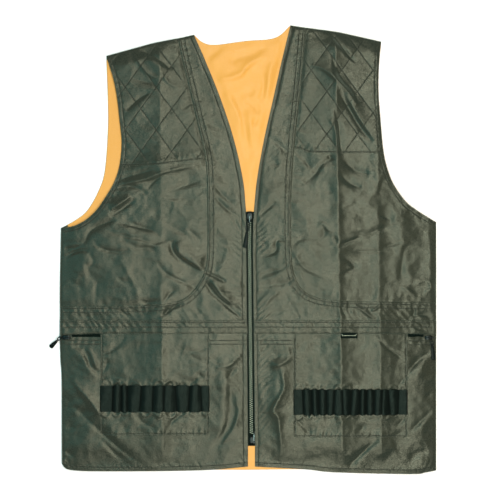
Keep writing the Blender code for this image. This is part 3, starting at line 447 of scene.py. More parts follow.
# Small folds across the seams, columns place and pitch of the folds, how far they reach to both
# sides of the place, height, slant, seed
PUCKERS = {
    "chest seam": (11.0, 12.5, 8.0, 0.4, 0.0, 21),
    "chest armhole": (6.0, 9.0, 6.0, 0.4, 0.0, 23),
    "strip seam": (7.0, 10.5, 8.0, 0.45, 0.0, 31),
    "strip edge": (13.0, 10.5, 14.0, 0.95, 0.75, 33),
    "strip edge, fine": (5.0, 5.2, 3.5, 0.9, 0.9, 34),
    "strip waist": (-102.0, 13.0, 10.0, 0.6, 0.0, 35),
    "hem": (8.0, 8.0, 7.0, 0.7, 0.8, 41),
    "lower zip edge": (13.0, 10.5, 14.0, 0.95, 0.75, 43),
    "lower zip edge, fine": (5.0, 5.2, 3.5, 0.9, 0.9, 44),
    "under the placket": (-149.0, 11.0, 9.0, 0.5, 0.0, 45),
    "placket": (-120.0, 11.5, 9.0, 0.5, 0.0, 51),
    "placket edge": (-131.0, 15.0, 6.0, 0.45, 0.0, 53),
    "quilting": (2.5, 11.0, 7.0, 0.14, 0.0, 61),
    "patch bottom": (4.0, 9.0, 6.0, 0.5, 0.0, 63),
    "patch armhole": (7.0, 9.5, 6.0, 0.5, 0.0, 65),
    "patch seam": (6.0, 9.5, 6.0, 0.4, 0.0, 67),
    "pocket outer side": (4.0, 10.0, 7.0, 0.45, 0.0, 71),
    "pocket inner side": (4.0, 10.0, 7.0, 0.45, 0.0, 73),
    "pocket bottom": (4.0, 9.0, 7.0, 0.5, 0.0, 75),
    "back neck": (6.0, 9.0, 6.0, 0.3, 0.0, 99),
}

# Layers of crumpling, columns height, squeeze of x and of y, cell size, seed. CRUMPLE_MEAN is the
# mean height of crumple, which is taken off each.
CRUMPLES = ((2.7, 1.0, 0.8, 52.0, 3), (1.2, 0.9, 1.0, 25.0, 7), (0.6, 1.0, 1.0, 11.0, 9))
CRUMPLE_MEAN = 0.45
LINING_CRUMPLES = ((2.4, 1.0, 0.7, 42.0, 95), (1.0, 1.0, 1.0, 18.0, 97))
LINING_CRUMPLE_MEAN = 0.4

# Zip pulls, columns name, body, joint, heading in degrees, link length, tab length, droop in degrees
PULLS = (
    ("zip", "front_pull", "front_pull_swing", 262.0, 17.5, 25.5, 2.0),
    ("pocket_zip_right", "pocket_pull_right", "pocket_pull_right_swing", 224.0, 9.0, 17.0, 16.0),
    ("pocket_zip_left", "pocket_pull_left", "pocket_pull_left_swing", 276.0, 9.0, 22.0, 3.0),
)

# Pocket zips, x of the outer end and of the inner end, and what lies at which y
POCKET_ZIPS = {"right": (-283.0, -237.6), "left": (279.0, 253.3)}
POCKET_TAPE_ROWS_Y = (-140.0, -139.9, -138.0, -136.0, -133.0, -131.7, -131.6)
COIL_Y = -137.2
COIL_RADIUS = 0.8

# Zip sliders, columns middle in plan, length with width and height, heading in degrees
SLIDERS = {
    "front": ((1.0, 53.4), (14.4, 10.6, 4.4), 270.0),
    "right": ((-291.4, -140.6), (13.6, 7.2, 3.0), 180.0),
    "left": ((286.4, -141.0), (12.0, 7.2, 3.0), 0.0),
}

# Bare tab on the wearer's-left pocket, from and to, and how it is made up
LABEL_X = (146.0, 172.8)
LABEL_Y = (-141.6, -133.4)
LABEL_ON_PLACKET_Y = -135.0
LABEL_LIFT = 3.0
LABEL_FOLD = 0.45
LABEL_HALF_THICKNESS = 0.16
LABEL_SEAM_X = 2.4
LABEL_SEAM_Y = (-134.6, -137.4)
LABEL_STITCHES = 12


# Paths in plan, as arrays of rows x, y

# Distance between the points of a path that is cut
CUT_STEP = 1.5


def smooth_edge(table, samples=12):
    """Points along a Catmull-Rom curve through the table's points."""
    knots = np.array(table, float)
    ends = np.vstack((2 * knots[0] - knots[1], knots, 2 * knots[-1] - knots[-2]))
    a, b, c, d = (ends[k:len(ends) - 3 + k, None, :] for k in range(4))
    t = (np.arange(samples) / samples)[None, :, None]
    points = 0.5 * (
        2 * b + (c - a) * t + (2 * a - 5 * b + 4 * c - d) * t ** 2 + (3 * b - a - 3 * c + d) * t ** 3
    )
    return np.vstack((points.reshape(-1, 2), knots[-1:]))


def unit(vectors):
    """Each vector divided by its length."""
    return vectors / np.sqrt((vectors ** 2).sum(1))[:, None]


def straight(start, end):
    return np.array((start, end), float)


def run_lengths(path):
    """Distance of each point from the start, along the path."""
    steps = np.sqrt((np.diff(path, axis=0) ** 2).sum(1))
    return np.concatenate(([0.0], np.cumsum(steps)))


def sampled(path, shares):
    """Points of a path at these shares of its length, 0 to 1."""
    lengths = run_lengths(path)
    wanted = np.asarray(shares) * lengths[-1]
    return np.column_stack([np.interp(wanted, lengths, path[:, k]) for k in range(path.shape[1])])


def cut(path, start, end):
    """The stretch of a path from its point nearest start to its point nearest end."""
    path = sampled(path, np.linspace(0.0, 1.0, int(run_lengths(path)[-1] / CUT_STEP) + 2))
    first = int(np.argmin(((path - np.array(start)) ** 2).sum(1)))
    last = int(np.argmin(((path - np.array(end)) ** 2).sum(1)))
    return path[first:last + 1] if first < last else path[last:first + 1][::-1]


def offset(path, distance, side):
    """The path moved sideways by a distance, to its left where side is 1 and its right where -1."""
    slope = unit(np.gradient(path, axis=0))
    normal = np.column_stack((-slope[:, 1], slope[:, 0])) * side
    return path + normal * np.broadcast_to(distance, len(path))[:, None]


def beside(table, y):
    """The place x of an edge at y, on the straight lines between its table's points."""
    rows = np.array(sorted(table, key=lambda row: row[1]))
    return np.interp(y, rows[:, 1], rows[:, 0])


def on_edge(table, y):
    """The point of an edge at y."""
    return float(beside(table, y)), y


def across(table, x):
    """The height y of an edge at x, along the smooth curve through its table."""
    edge = smooth_edge(table)
    edge = edge[np.argsort(edge[:, 0])]
    return np.interp(x, edge[:, 0], edge[:, 1])


def nearest_on(path, x, y):
    """Distance of each point to a path, and how far along the path its nearest place is."""
    x = np.asarray(x, float)
    best = np.full(x.shape, np.inf)
    along = np.zeros(x.shape)
    lengths = run_lengths(path)
    for (ax, ay), (bx, by), start, end in zip(path, path[1:], lengths, lengths[1:]):
        run_x = bx - ax
        run_y = by - ay
        share = ((x - ax) * run_x + (y - ay) * run_y) / max(run_x ** 2 + run_y ** 2, 1e-9)
        share = np.clip(share, 0.0, 1.0)
        away = (x - ax - share * run_x) ** 2 + (y - ay - share * run_y) ** 2
        closer = away < best
        best = np.where(closer, away, best)
        along = np.where(closer, start + share * (end - start), along)
    return np.sqrt(best), along


def left_of(path, x, y, along):
    """Whether each point lies to the left of a path, at the place along it that is given."""
    at = np.clip(np.searchsorted(run_lengths(path), along) - 1, 0, len(path) - 2)
    run = (path[1:] - path[:-1])[at]
    return run[:, 0] * (y - path[at, 1]) - run[:, 1] * (x - path[at, 0]) > 0


# Random fields, the same each run


def lattice(seed, i, j):
    """A fixed random number from 0 to 1 for each pair of whole numbers, by mixing their bits."""
    word = 0xFFFFFFFF
    mixed = (i.astype(np.int64) * 374761393 + j.astype(np.int64) * 668265263 + seed * 974711) & word
    mixed = ((mixed ^ (mixed >> 13)) * 1274126177) & word
    return ((mixed ^ (mixed >> 16)) & 0xFFFF) / 0xFFFF


def smooth_step(value):
    """The value held to 0 to 1, with a level start and end: 3 v^2 - 2 v^3."""
    value = np.clip(value, 0.0, 1.0)
    return value * value * (3.0 - 2.0 * value)


def soft_noise(x, y, size, seed):
    """Smooth height from -1 to 1: random values a size apart, blended between by smooth steps."""
    i = np.floor(x / size)
    j = np.floor(y / size)
    u = smooth_step(x / size - i)
    v = smooth_step(y / size - j)
    low = lattice(seed, i, j) * (1 - u) + lattice(seed, i + 1, j) * u
    high = lattice(seed, i, j + 1) * (1 - u) + lattice(seed, i + 1, j + 1) * u
    return 2.0 * (low * (1 - v) + high * v) - 1.0


def crumple(x, y, size, seed):
    """Height of crumpled cloth, about 0 to 1: the distance to the nearest of one random point a
    cell, so that sharp creases stand between shallow dips. The cells are bent by soft noise."""
    bent_x = x + 0.35 * size * soft_noise(x, y, size * 1.3, seed + 11)
    bent_y = y + 0.35 * size * soft_noise(x, y, size * 1.3, seed + 12)
    i = np.floor(bent_x / size)
    j = np.floor(bent_y / size)
    nearest = np.full(np.shape(x), np.inf)
    for di in (-1, 0, 1):
        for dj in (-1, 0, 1):
            away_x = i + di + lattice(seed, i + di, j + dj) - bent_x / size
            away_y = j + dj + lattice(seed + 1, i + di, j + dj) - bent_y / size
            nearest = np.minimum(nearest, np.sqrt(away_x ** 2 + away_y ** 2))
    return nearest


def crumpled(layers, mean, x, y):
    """Sum of layers of crumpling, each less its mean and times its height."""
    total = 0.0
    for height, squeeze_x, squeeze_y, size, seed in layers:
        total = total + height * (crumple(x * squeeze_x, y * squeeze_y, size, seed) - mean)
    return total


def positive(rise, softness):
    """The rise where it is positive and nearly 0 where it isn't, with a smooth turn between."""
    return 0.5 * (rise + np.sqrt(rise * rise + softness))


# Height of the fronts


def crease_rise(rows, x, y):
    """Sum of creases: each is its height, times a sine along it that ends at 0, times
    exp(-(distance / width) ** 1.15) across it, where the width is less on its steeper side."""
    rise = np.zeros(np.shape(x))
    for row in rows:
        height, half_width = row[:2]
        path = smooth_edge(row[2:], 4) if len(row) > 4 else np.array(row[2:], float)
        reach = CREASE_REACH * half_width
        low = path.min(0) - reach
        high = path.max(0) + reach
        near = (x > low[0]) & (x < high[0]) & (y > low[1]) & (y < high[1])
        if not near.any():
            continue
        distance, along = nearest_on(path, x[near], y[near])
        taper = np.sin(np.pi * np.clip(along / run_lengths(path)[-1], 0.0, 1.0)) ** 0.6
        gentle = left_of(path, x[near], y[near], along)
        width = half_width * np.where(gentle, CREASE_GENTLE, CREASE_STEEP)
        rise[near] += CREASE_HEIGHT * height * taper * np.exp(-(distance / width) ** 1.15)
    return rise


def wall_rise(x, y):
    """The rise that the part's own walls have: a slow billow, bell-shaped folds, and ridges
    pressed in storage, sharp at the top and flatter further out."""
    rise = BILLOW * (1.0 + np.sin(x / BILLOW_LENGTH * np.pi) * np.cos(y / BILLOW_LENGTH * np.pi))
    for x0, y0, x1, y1, height, half_width in FOLDS:
        distance, along = nearest_on(np.array(((x0, y0), (x1, y1))), x, y)
        taper = FOLD_END + (1.0 - FOLD_END) * np.sin(np.pi * along / math.hypot(x1 - x0, y1 - y0))
        rise += FOLD_SHARE * height * taper * np.exp(-(distance / half_width) ** 1.6)
    down = (SHOULDER_Y - y) / LENGTH
    for x_top, x_bottom, height, half_width, worn in PRESSED:
        off = x - x_top - (x_bottom - x_top) * down
        kept = 1.0 - worn * np.exp(-((y - PRESSED_WORN_Y) / PRESSED_WORN_REACH) ** 4)
        width = np.where(off > 0, 0.8 * half_width, 1.6 * half_width)
        rise += height * kept * np.exp(-np.abs(off) / width)
    return rise


def form(front, x, y):
    """Level that the underside of a front lies at, as in the part, with finer creases added.

    The rise fades to nothing at the free edges, and at the side and shoulder seams the
    cloth rolls down to the back along a quarter circle.
    """
    amount = bpy.context.scene.vest_sizes.crumple
    x = np.asarray(x, float)
    y = np.asarray(y, float)
    foot_y = front["armhole_foot"][1]
    edge = beside(front["front_edge"] + front["zip_edge"][1:], y)
    from_edge = np.abs(x - edge)
    from_side = np.abs(beside(front["side"], np.minimum(y, foot_y)) - x)
    from_shoulder = np.maximum(across(front["shoulder"], x) - y, 0.0)
    from_hem = np.maximum(y - across(front["hem"], x), 0.0)
    neck_fade = NECK_FADE + NECK_FADE_MORE * smooth_step((y - 60.0) / 80.0)
    wide = (
        smooth_step(from_edge / neck_fade) * smooth_step((HALF_WIDTH - np.abs(x)) / EDGE_FADE)
        * smooth_step((y - HEM_Y) / NECK_FADE) * smooth_step(from_shoulder / EDGE_FADE)
    )
    close = (
        smooth_step((from_edge - 1.0) / CLOSE_FADE) * smooth_step(from_hem / CLOSE_FADE)
        * smooth_step(from_shoulder / CLOSE_FADE)
    )
    fine = crease_rise(CREASES, x, y)
    quilted = smooth_step((y - 140.0) / 20.0) * smooth_step((np.abs(x) - 75.0) / 15.0)
    fine += amount * (1.0 - 0.45 * quilted) * crumpled(CRUMPLES, CRUMPLE_MEAN, x, y)
    rise = wall_rise(x, y) * wide + (fine + 0.5) * close
    level = FRONT_LEVEL + positive(rise, 0.3)
    at_side = np.where(y < foot_y, np.clip(1.0 - from_side / SEAM_ALLOWANCE, 0.0, 1.0), 0.0)
    at_shoulder = np.clip(1.0 - from_shoulder / SEAM_ALLOWANCE, 0.0, 1.0)
    roll = np.sqrt(np.clip(1.0 - np.maximum(at_side, at_shoulder) ** 2, 0.0, 1.0))
    return FRONT_EDGE_LEVEL + (level - FRONT_EDGE_LEVEL) * roll


def groove(distance, place, depth=0.35, width=1.5):
    """A narrow dip along a line of stitches, bell-shaped across."""
    return -depth * np.exp(-((distance - place) / width) ** 2)


def puckers(where, along, distance):
    """Small folds across a seam, measured as PUCKERS says: sharp crests 1 - 2 |sin| at uneven
    distances along it, which lean by about the slant, fade out to both sides of their place, and
    vary in height."""
    place, pitch, reach, height, slant, seed = PUCKERS[where]
    phase = along / pitch + 0.8 * soft_noise(along, distance * 0.3, pitch * 2.4, seed)
    size = 0.5 + 0.5 * soft_noise(along, distance, pitch * 2.6, seed + 1)
    turn = slant + 0.5 * soft_noise(along, along * 0.0, pitch * 5.0, seed + 2)
    lean = (distance - place) / pitch * turn
    crest = 1.0 - 2.0 * np.abs(np.sin(np.pi * (phase + lean))) ** 0.8
    return height * size * crest * np.exp(-((distance - place) / reach) ** 2)


# Edges of the two fronts


def lap(path):
    """How far the centre strip laps over its seam: LAP, and none where the seam runs to the side."""
    return LAP * smooth_step((path[:, 1] + 84.0) / 40.0)


def lines_of(name):
    """Every cut edge of one front, as smooth paths."""
    front = FRONTS[name]
    seam = smooth_edge(front["seam"], 6)
    neck = smooth_edge(front["front_edge"], 6)
    zip_line = np.array(front["zip_edge"], float)
    return SimpleNamespace(
        front=front,
        out=front["out"],
        lapped_seam=offset(seam, lap(seam), front["out"]),
        under_seam=offset(seam, LAP - lap(seam), -front["out"]),
        side=smooth_edge(front["side"], 6),
        armhole=smooth_edge(front["armhole"], 6),
        shoulder=smooth_edge(front["shoulder"], 6),
        neck=neck,
        zip_line=zip_line,
        front_edge=np.vstack((neck, zip_line[1:])),
        hem=smooth_edge(front["hem"], 6),
        waist_corner=on_edge(front["zip_edge"], WAISTBAND_BOTTOM_Y),
        foot_on_seam=(front["patch_inner"][0], ARMHOLE_FOOT_LEVEL),
        patch_bottom=smooth_edge(PATCH_BOTTOM[name], 6),
        placket_bottom=smooth_edge(PLACKET_BOTTOM[name], 6),
    )


LINES = {name: lines_of(name) for name in FRONTS}


# How high the top of each cloth piece lies, at any point of it


def edge_round(distance, radius=SHEET / 2):
    """How far a rounded edge lies below its face: a quarter circle over the radius."""
    inside = np.clip(distance / radius, 0.0, 1.0)
    return radius * (1.0 - np.sqrt(np.clip(1.0 - (1.0 - inside) ** 2, 0.0, 1.0)))


def chest_relief(lines, x, y):
    """The side front: sunk under the lap of the centre strip, puckered there and at the armhole."""
    to_seam, along_seam = nearest_on(lines.under_seam, x, y)
    to_armhole, along_armhole = nearest_on(lines.armhole, x, y)
    relief = -SINK * (1.0 - smooth_step((to_seam - 2.0) / 13.0))
    relief += puckers("chest seam", along_seam, to_seam)
    relief += groove(to_armhole, TURNED_ROW, 0.3) + groove(to_armhole, 2.0, 0.2)
    relief += puckers("chest armhole", along_armhole, to_armhole)
    return relief


def strip_relief(lines, x, y):
    """The centre front: two rows of stitches along the curved seam, one along the free edge,
    puckers on both, and short slanting gathers in the waistband."""
    to_seam, along_seam = nearest_on(lines.lapped_seam, x, y)
    to_edge, along_edge = nearest_on(lines.front_edge, x, y)
    waistband = smooth_step((-60.0 - y) / 16.0) * smooth_step((np.abs(x) - 60.0) / 20.0)
    relief = 0.15 * (1.0 - smooth_step(to_seam / 7.0)) - 0.4 * (1.0 - smooth_step(to_seam / 1.3))
    relief += groove(to_seam, SEAM_ROWS[0], 0.08, 1.6) + groove(to_seam, SEAM_ROWS[1], 0.08, 1.6)
    relief += puckers("strip seam", along_seam, to_seam)
    relief += groove(to_edge, lines.front["edge_row"], lines.front["edge_groove"], 1.9)
    near_zip = 0.2 + 0.8 * smooth_step((80.0 - y) / 60.0)
    relief += near_zip * puckers("strip edge", along_edge, to_edge)
    relief += 0.35 * near_zip * puckers("strip edge, fine", along_edge, to_edge)
    return relief + waistband * puckers("strip waist", x + 0.5 * y, y)


def lower_relief(lines, x, y):
    """The lower front: a row of stitches above the hem with small slanting puckers, one along
    the zip, and two short rows under the placket."""
    to_hem, along_hem = nearest_on(lines.hem, x, y)
    to_edge, along_edge = nearest_on(lines.zip_line, x, y)
    relief = groove(to_hem, TURNED_ROW, 0.15, 1.6)
    relief += puckers("hem", along_hem, to_hem) * smooth_step(to_hem / 6.0)
    relief += groove(to_edge, lines.front["edge_row"], lines.front["edge_groove"], 1.9)
    relief += puckers("lower zip edge", along_edge, to_edge)
    relief += 0.35 * puckers("lower zip edge, fine", along_edge, to_edge)
    relief -= SINK * smooth_step((y - WAISTBAND_BOTTOM_Y + 9.0) / 10.0)
    relief += groove(y, LOWER_ROWS_Y[0], 0.12) + groove(y, LOWER_ROWS_Y[1], 0.12)
    return relief + puckers("under the placket", x + 0.4 * y, y)


def placket_relief(lines, x, y):
    """The waist placket: two rows of stitches, and gathers that slant across them."""
    to_bottom, _ = nearest_on(lines.placket_bottom, x, y)
    relief = groove(y, PLACKET_ROWS_Y[0], 0.12) + groove(y, PLACKET_ROWS_Y[1], 0.12)
    relief += puckers("placket", x + 0.6 * y, y)
    relief += puckers("placket edge", x - 0.3 * y, y)
    relief -= 1.1 * (1.0 - smooth_step(to_bottom / 1.9))
    return relief


def quilt_number(lines, lean, x, y):
    """Place across one family of the quilting's sewn lines, a whole number on each of them."""
    return (x * np.sin(lean) - y * np.cos(lean)) / QUILT_SPACING + QUILT_SHIFT * lines.out


def quilting(lines, x, y):
    """Diamond quilting: the product of two ridge waves, each |sine| to a power, whose lines are
    sewn down, with small puckers that run into the sewn lines."""
    rise = np.ones(np.shape(x))
    small = np.zeros(np.shape(x))
    for lean in (QUILT_ANGLE, -QUILT_ANGLE):
        number = quilt_number(lines, lean, x, y)
        along_lines = x * np.cos(lean) + y * np.sin(lean)
        rise = rise * np.abs(np.sin(np.pi * number)) ** 0.5
        away = np.abs(number - np.round(number)) * QUILT_SPACING
        small = small + puckers("quilting", along_lines, away)
    return bpy.context.scene.vest_sizes.quilt_rise / MM * rise + small


def patch_relief(lines, x, y):
    """The quilted patch: padding that thins to nothing at its four sewn edges."""
    to_seam, along_seam = nearest_on(lines.lapped_seam, x, y)
    to_armhole, along_armhole = nearest_on(lines.armhole, x, y)
    to_bottom, along_bottom = nearest_on(lines.patch_bottom, x, y)
    to_shoulder = np.maximum(across(lines.front["shoulder"], x) - y, 0.0)
    inside = (
        smooth_step((to_seam - 1.0) / 9.0) * smooth_step((to_armhole - 5.0) / 8.0)
        * smooth_step((to_bottom - 1.5) / 7.0) * smooth_step((to_shoulder - 1.0) / 9.0)
    )
    relief = quilting(lines, x, y) * inside
    stitched = groove(to_armhole, TURNED_ROW, 0.5) + groove(to_bottom, PATCH_ROW, 0.4)
    relief += stitched - 0.9 * (1 - smooth_step(to_seam / 5.0))
    relief += puckers("patch bottom", along_bottom, to_bottom)
    relief += puckers("patch armhole", along_armhole, to_armhole)
    return relief + puckers("patch seam", along_seam, to_seam)


def pocket_relief(lines, x, y):
    """The patch pocket: sewn down close to its sides and bottom, a little slack in between."""
    front = lines.front
    to_outer = np.abs(x - front["loops"][0])
    to_inner = np.abs(x - front["loops"][-1])
    to_bottom = y - front["pocket_bottom"]
    relief = groove(to_outer, POCKET_ROW, 0.45) + groove(to_inner, POCKET_ROW, 0.45)
    relief += groove(to_bottom, POCKET_ROW, 0.45)
    relief += puckers("pocket outer side", y, to_outer) + puckers("pocket inner side", y, to_inner)
    relief += puckers("pocket bottom", x, to_bottom)
    near_band = np.exp(-((y - front["band_top"] - 4.0) / 5.0) ** 2)
    near_band += np.exp(-((y - front["band_bottom"] + 4.0) / 5.0) ** 2)
    relief += near_band * 0.7 * soft_noise(x, y * 0.3, 9.0, 77)
    share, width, _ = loop_shares(lines, x, y)
    number = np.floor(share)
    for level, way, seed in ((front["band_top"], 1.0, 78), (front["band_bottom"], -1.0, 79)):
        size = lattice(seed, number, number * 0.0)
        away = np.hypot((share - number - 0.5) * width, (y - level) * (1.5 - 0.6 * size))
        ring = np.exp(-((away - (0.3 + 0.14 * size) * width) / 1.7) ** 2)
        relief += (0.4 + 1.1 * size) * ring * smooth_step(way * (y - level) / 3.0 + 0.5)
    return relief


def loop_shares(lines, x, y):
    """Loop number plus the share across it, the loop's width, and its height. The sewn lines
    lean, each by its own amount, apart from the two at the ends."""
    loops = np.sort(np.array(lines.front["loops"], float))
    middle = (lines.front["band_bottom"] + lines.front["band_top"]) / 2
    tilt = LOOP_LEAN * (lattice(81, np.round(loops), np.zeros(len(loops))) - 0.5)
    tilt[[0, -1]] = 0.0
    number = np.zeros(np.shape(x))
    share = np.zeros(np.shape(x))
    width = np.ones(np.shape(x))
    height = np.zeros(np.shape(x))
    for k in range(len(loops) - 1):
        start = loops[k] + tilt[k] * (y - middle)
        end = loops[k + 1] + tilt[k + 1] * (y - middle)
        inside = (x >= start) & (x <= end)
        number = np.where(inside, k, number)
        share = np.where(inside, (x - start) / (end - start), share)
        width = np.where(inside, end - start, width)
        full = LOOP_RISE if 0 < k < len(loops) - 2 else LOOP_END_RISE
        height = np.where(inside, full * (0.85 + 0.15 * math.sin(7.3 * k)), height)
    return number + share, width, height


def band_relief(lines, x, y):
    """The elastic: an arch over each loop, |sine| to the power 0.7, and a narrow valley between
    two loops. The arch is a little lower on one side."""
    share, _, height = loop_shares(lines, x, y)
    side = share - np.floor(share) - 0.5
    return height * np.abs(np.sin(np.pi * share)) ** 0.7 * (1.0 - 0.35 * side)


# Bottom and top of each kind of piece above form, and what shapes its top. The band's bottom is
# worked out from its top.
LIFTS = {
    "chest": (BASE_LIFT, SHELL_TOP, chest_relief),
    "strip": (BASE_LIFT, SHELL_TOP, strip_relief),
    "lower": (BASE_LIFT, SHELL_TOP, lower_relief),
    "placket": (1.85, 2.9, placket_relief),
    "patch": (1.58, 2.7, patch_relief),
    "pocket": (1.58, 2.7, pocket_relief),
    "band": (None, 4.2, band_relief),
}


def from_rows(place, rows):
    """Signed distance from the nearer of two rows: |place - middle| - half their distance."""
    return np.abs(place - (rows[0] + rows[1]) / 2) - abs(rows[1] - rows[0]) / 2


def stitch_distances(kind, lines, x, y):
    """Signed distances in millimetres, each 0 along one family of stitch rows on a piece. The
    finish draws a dimple where one is 0, and paints shade there by darkening the colour. Three
    families for each point, NO_ROW where there is none."""
    front = lines.front
    rows = np.full(np.shape(x) + (3,), NO_ROW)
    if kind == "chest":
        rows[..., 0] = nearest_on(lines.armhole, x, y)[0] - TURNED_ROW
    elif kind == "strip":
        rows[..., 0] = from_rows(nearest_on(lines.lapped_seam, x, y)[0], SEAM_ROWS)
        rows[..., 1] = nearest_on(lines.front_edge, x, y)[0] - front["edge_row"]
    elif kind == "lower":
        rows[..., 0] = nearest_on(lines.hem, x, y)[0] - TURNED_ROW
        rows[..., 1] = nearest_on(lines.zip_line, x, y)[0] - front["edge_row"]
        rows[..., 2] = from_rows(y, LOWER_ROWS_Y)
    elif kind == "placket":
        rows[..., 0] = from_rows(y, PLACKET_ROWS_Y)
    elif kind == "patch":
        to_armhole = nearest_on(lines.armhole, x, y)[0]
        to_bottom = nearest_on(lines.patch_bottom, x, y)[0]
        rows[..., 0] = np.minimum(to_armhole - TURNED_ROW, to_bottom - PATCH_ROW)
        for k, lean in ((1, QUILT_ANGLE), (2, -QUILT_ANGLE)):
            wave = np.sin(np.pi * quilt_number(lines, lean, x, y))
            rows[..., k] = 0.8 * wave * QUILT_SPACING / np.pi
    elif kind == "pocket":
        to_sides = np.minimum(np.abs(x - front["loops"][0]), np.abs(x - front["loops"][-1]))
        rows[..., 0] = np.minimum(to_sides, y - front["pocket_bottom"]) - POCKET_ROW
    # The band's sewn lines between the loops, where the webbing's finish paints shade in the valleys
    elif kind == "band":
        share, width, _ = loop_shares(lines, x, y)
        rows[..., 0] = np.sin(np.pi * share) * width / np.pi
    return rows.reshape(-1, 3)


def top_of(kind, lines, x, y):
    """Height of the top face of one kind of piece at plan points."""
    _, lift, relief = LIFTS[kind]
    return form(lines.front, x, y) + lift + relief(lines, x, y)


# Grids and meshes

EDGE_STATIONS = (0.0, 0.14, 0.45, 1.2)


def spacing(length, step, start=True, end=True):
    """Shares from 0 to 1 of a length, a step apart, and closer where an edge is rounded."""
    first = EDGE_STATIONS if start else (0.0,)
    last = EDGE_STATIONS if end else (0.0,)
    count = max(3, round((length - first[-1] - last[-1]) / step) + 1)
    middle = np.linspace(first[-1], length - last[-1], count)
    return np.concatenate((first[:-1], middle, length - np.array(last[:-1][::-1]))) / length


def sections(left, right, step):
    """Two edges cut into the same stretches, sampled at the same shares of each stretch.

    Gives the points of both edges and how far along they are, 0 to 1.
    """
    left_points = []
    right_points = []
    places = []
    done = 0.0
    for k, (a, b) in enumerate(zip(left, right)):
        length = (run_lengths(a)[-1] + run_lengths(b)[-1]) / 2
        shares = spacing(length, step, k == 0, k == len(left) - 1)
        shares = shares if k == 0 else shares[1:]
        left_points.append(sampled(a, shares))
        right_points.append(sampled(b, shares))
        places.append(done + shares * length)
        done += length
    return np.vstack(left_points), np.vstack(right_points), np.concatenate(places) / done


def coons(bottom, top, outer, inner, u, v):
    """Plan points between four edges that meet at their ends: the blend of the two sides, plus
    the blend of bottom and top, less the blend of the four corners."""
    u = u[None, :, None]
    v = v[:, None, None]
    corners = (
        (1 - u) * (1 - v) * bottom[0] + u * (1 - v) * bottom[-1] + (1 - u) * v * top[0] + u * v * top[-1]
    )
    plan = (1 - u) * outer[:, None] + u * inner[:, None] + (1 - v) * bottom[None] + v * top[None] - corners
    return plan[..., 0], plan[..., 1]


def new_mesh(name, points, faces, finishes, face_finish=None, rows=None):
    """An object from arrays: points in millimetres, faces as blocks of rows of 3 or 4 point
    numbers, and the distances to the stitch rows, along which the finishes draw dimples with painted shade."""
    mesh = bpy.data.meshes.new(name)
    corners = np.concatenate([block.ravel() for block in faces])
    totals = np.concatenate([np.full(len(block), block.shape[1]) for block in faces])
    starts = np.concatenate(([0], np.cumsum(totals)[:-1]))
    mesh.vertices.add(len(points))
    mesh.vertices.foreach_set("co", (np.asarray(points) * MM).astype(np.float32).ravel())
    mesh.loops.add(len(corners))
    mesh.loops.foreach_set("vertex_index", corners.astype(np.int32))
    mesh.polygons.add(len(totals))
    mesh.polygons.foreach_set("loop_start", starts.astype(np.int32))
    mesh.polygons.foreach_set("loop_total", totals.astype(np.int32))
    for finish in finishes:
        mesh.materials.append(bpy.data.materials[finish])
    if face_finish is not None:
        mesh.polygons.foreach_set("material_index", np.asarray(face_finish, np.int32))
    drawn = mesh.attributes.new("stitch_rows", "FLOAT_VECTOR", "POINT")
    rows = np.full((len(points), 3), NO_ROW) if rows is None else rows
    drawn.data.foreach_set("vector", rows.astype(np.float32).ravel())
    mesh.update(calc_edges=True)
    mesh.validate()
    mesh.shade_smooth()
    obj = bpy.data.objects.new(name, mesh)
    bpy.context.scene.collection.objects.link(obj)
    return obj


def grid_quads(index):
    """Faces between the neighbours of a grid of point numbers."""
    corners = (index[:-1, :-1], index[:-1, 1:], index[1:, 1:], index[1:, :-1])
    return np.stack(corners, -1).reshape(-1, 4)


def sheet_faces(shape):
    """Faces of a closed sheet over a grid: the top's, the bottom's and the rim's. The bottom's
    points are numbered after the top's."""
    index = np.arange(shape[0] * shape[1]).reshape(shape)
    top = grid_quads(index)
    ring = np.concatenate((index[0, :-1], index[:-1, -1], index[-1, :0:-1], index[:0:-1, 0]))
    after = np.roll(ring, -1)
    rim = np.column_stack((ring + index.size, after + index.size, after, ring))
    return top, top[:, ::-1] + index.size, rim


def shell(name, x, y, low, high, finishes, rows=None):
    """Closed cloth over a grid of plan points: a top face at high, a bottom face at low, and a
    rim that joins their edges. The second finish, where there is one, is the bottom's."""
    rows = np.full((x.size, 3), NO_ROW) if rows is None else rows
    turn = (x[0, -1] - x[0, 0]) * (y[-1, 0] - y[0, 0]) - (y[0, -1] - y[0, 0]) * (x[-1, 0] - x[0, 0])
    if turn < 0:
        rows = rows.reshape(x.shape + (3,))[:, ::-1].reshape(-1, 3)
        x, y, low, high = (values[:, ::-1] for values in (x, y, low, high))
    faces = sheet_faces(x.shape)
    points = np.vstack([np.stack((x, y, level), -1).reshape(-1, 3) for level in (high, low)])
    face_finish = np.repeat((0, len(finishes) - 1, 0), [len(block) for block in faces])
    drawn = np.vstack((rows, np.full((x.size, 3), NO_ROW)))
    return new_mesh(name, points, faces, finishes, face_finish, drawn)


def keep(obj, slot, *nodes, body=BODY):
    """Lets a piece ride on its body and stand for its nodes of the part."""
    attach(obj, body)
    if nodes:
        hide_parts(*nodes)
    return obj


def border_distance(x, y):
    """Distance of each grid point to the nearest of the grid's borders, along its row or column."""
    sides = [
        np.hypot(x - x[:, :1], y - y[:, :1]), np.hypot(x - x[:, -1:], y - y[:, -1:]),
        np.hypot(x - x[:1], y - y[:1]), np.hypot(x - x[-1:], y - y[-1:]),
    ]
    return np.minimum.reduce(sides)


def plan_between(bottom, top, outer, inner, step):
    """Plan grid between four edges. The outer and inner edges are lists of matching stretches."""
    outer_points, inner_points, v = sections(outer, inner, step)
    width = np.hypot(*(outer_points - inner_points).T).mean()
    u = spacing(width, step)
    return coons(sampled(bottom, u), sampled(top, u), outer_points, inner_points, u, v)


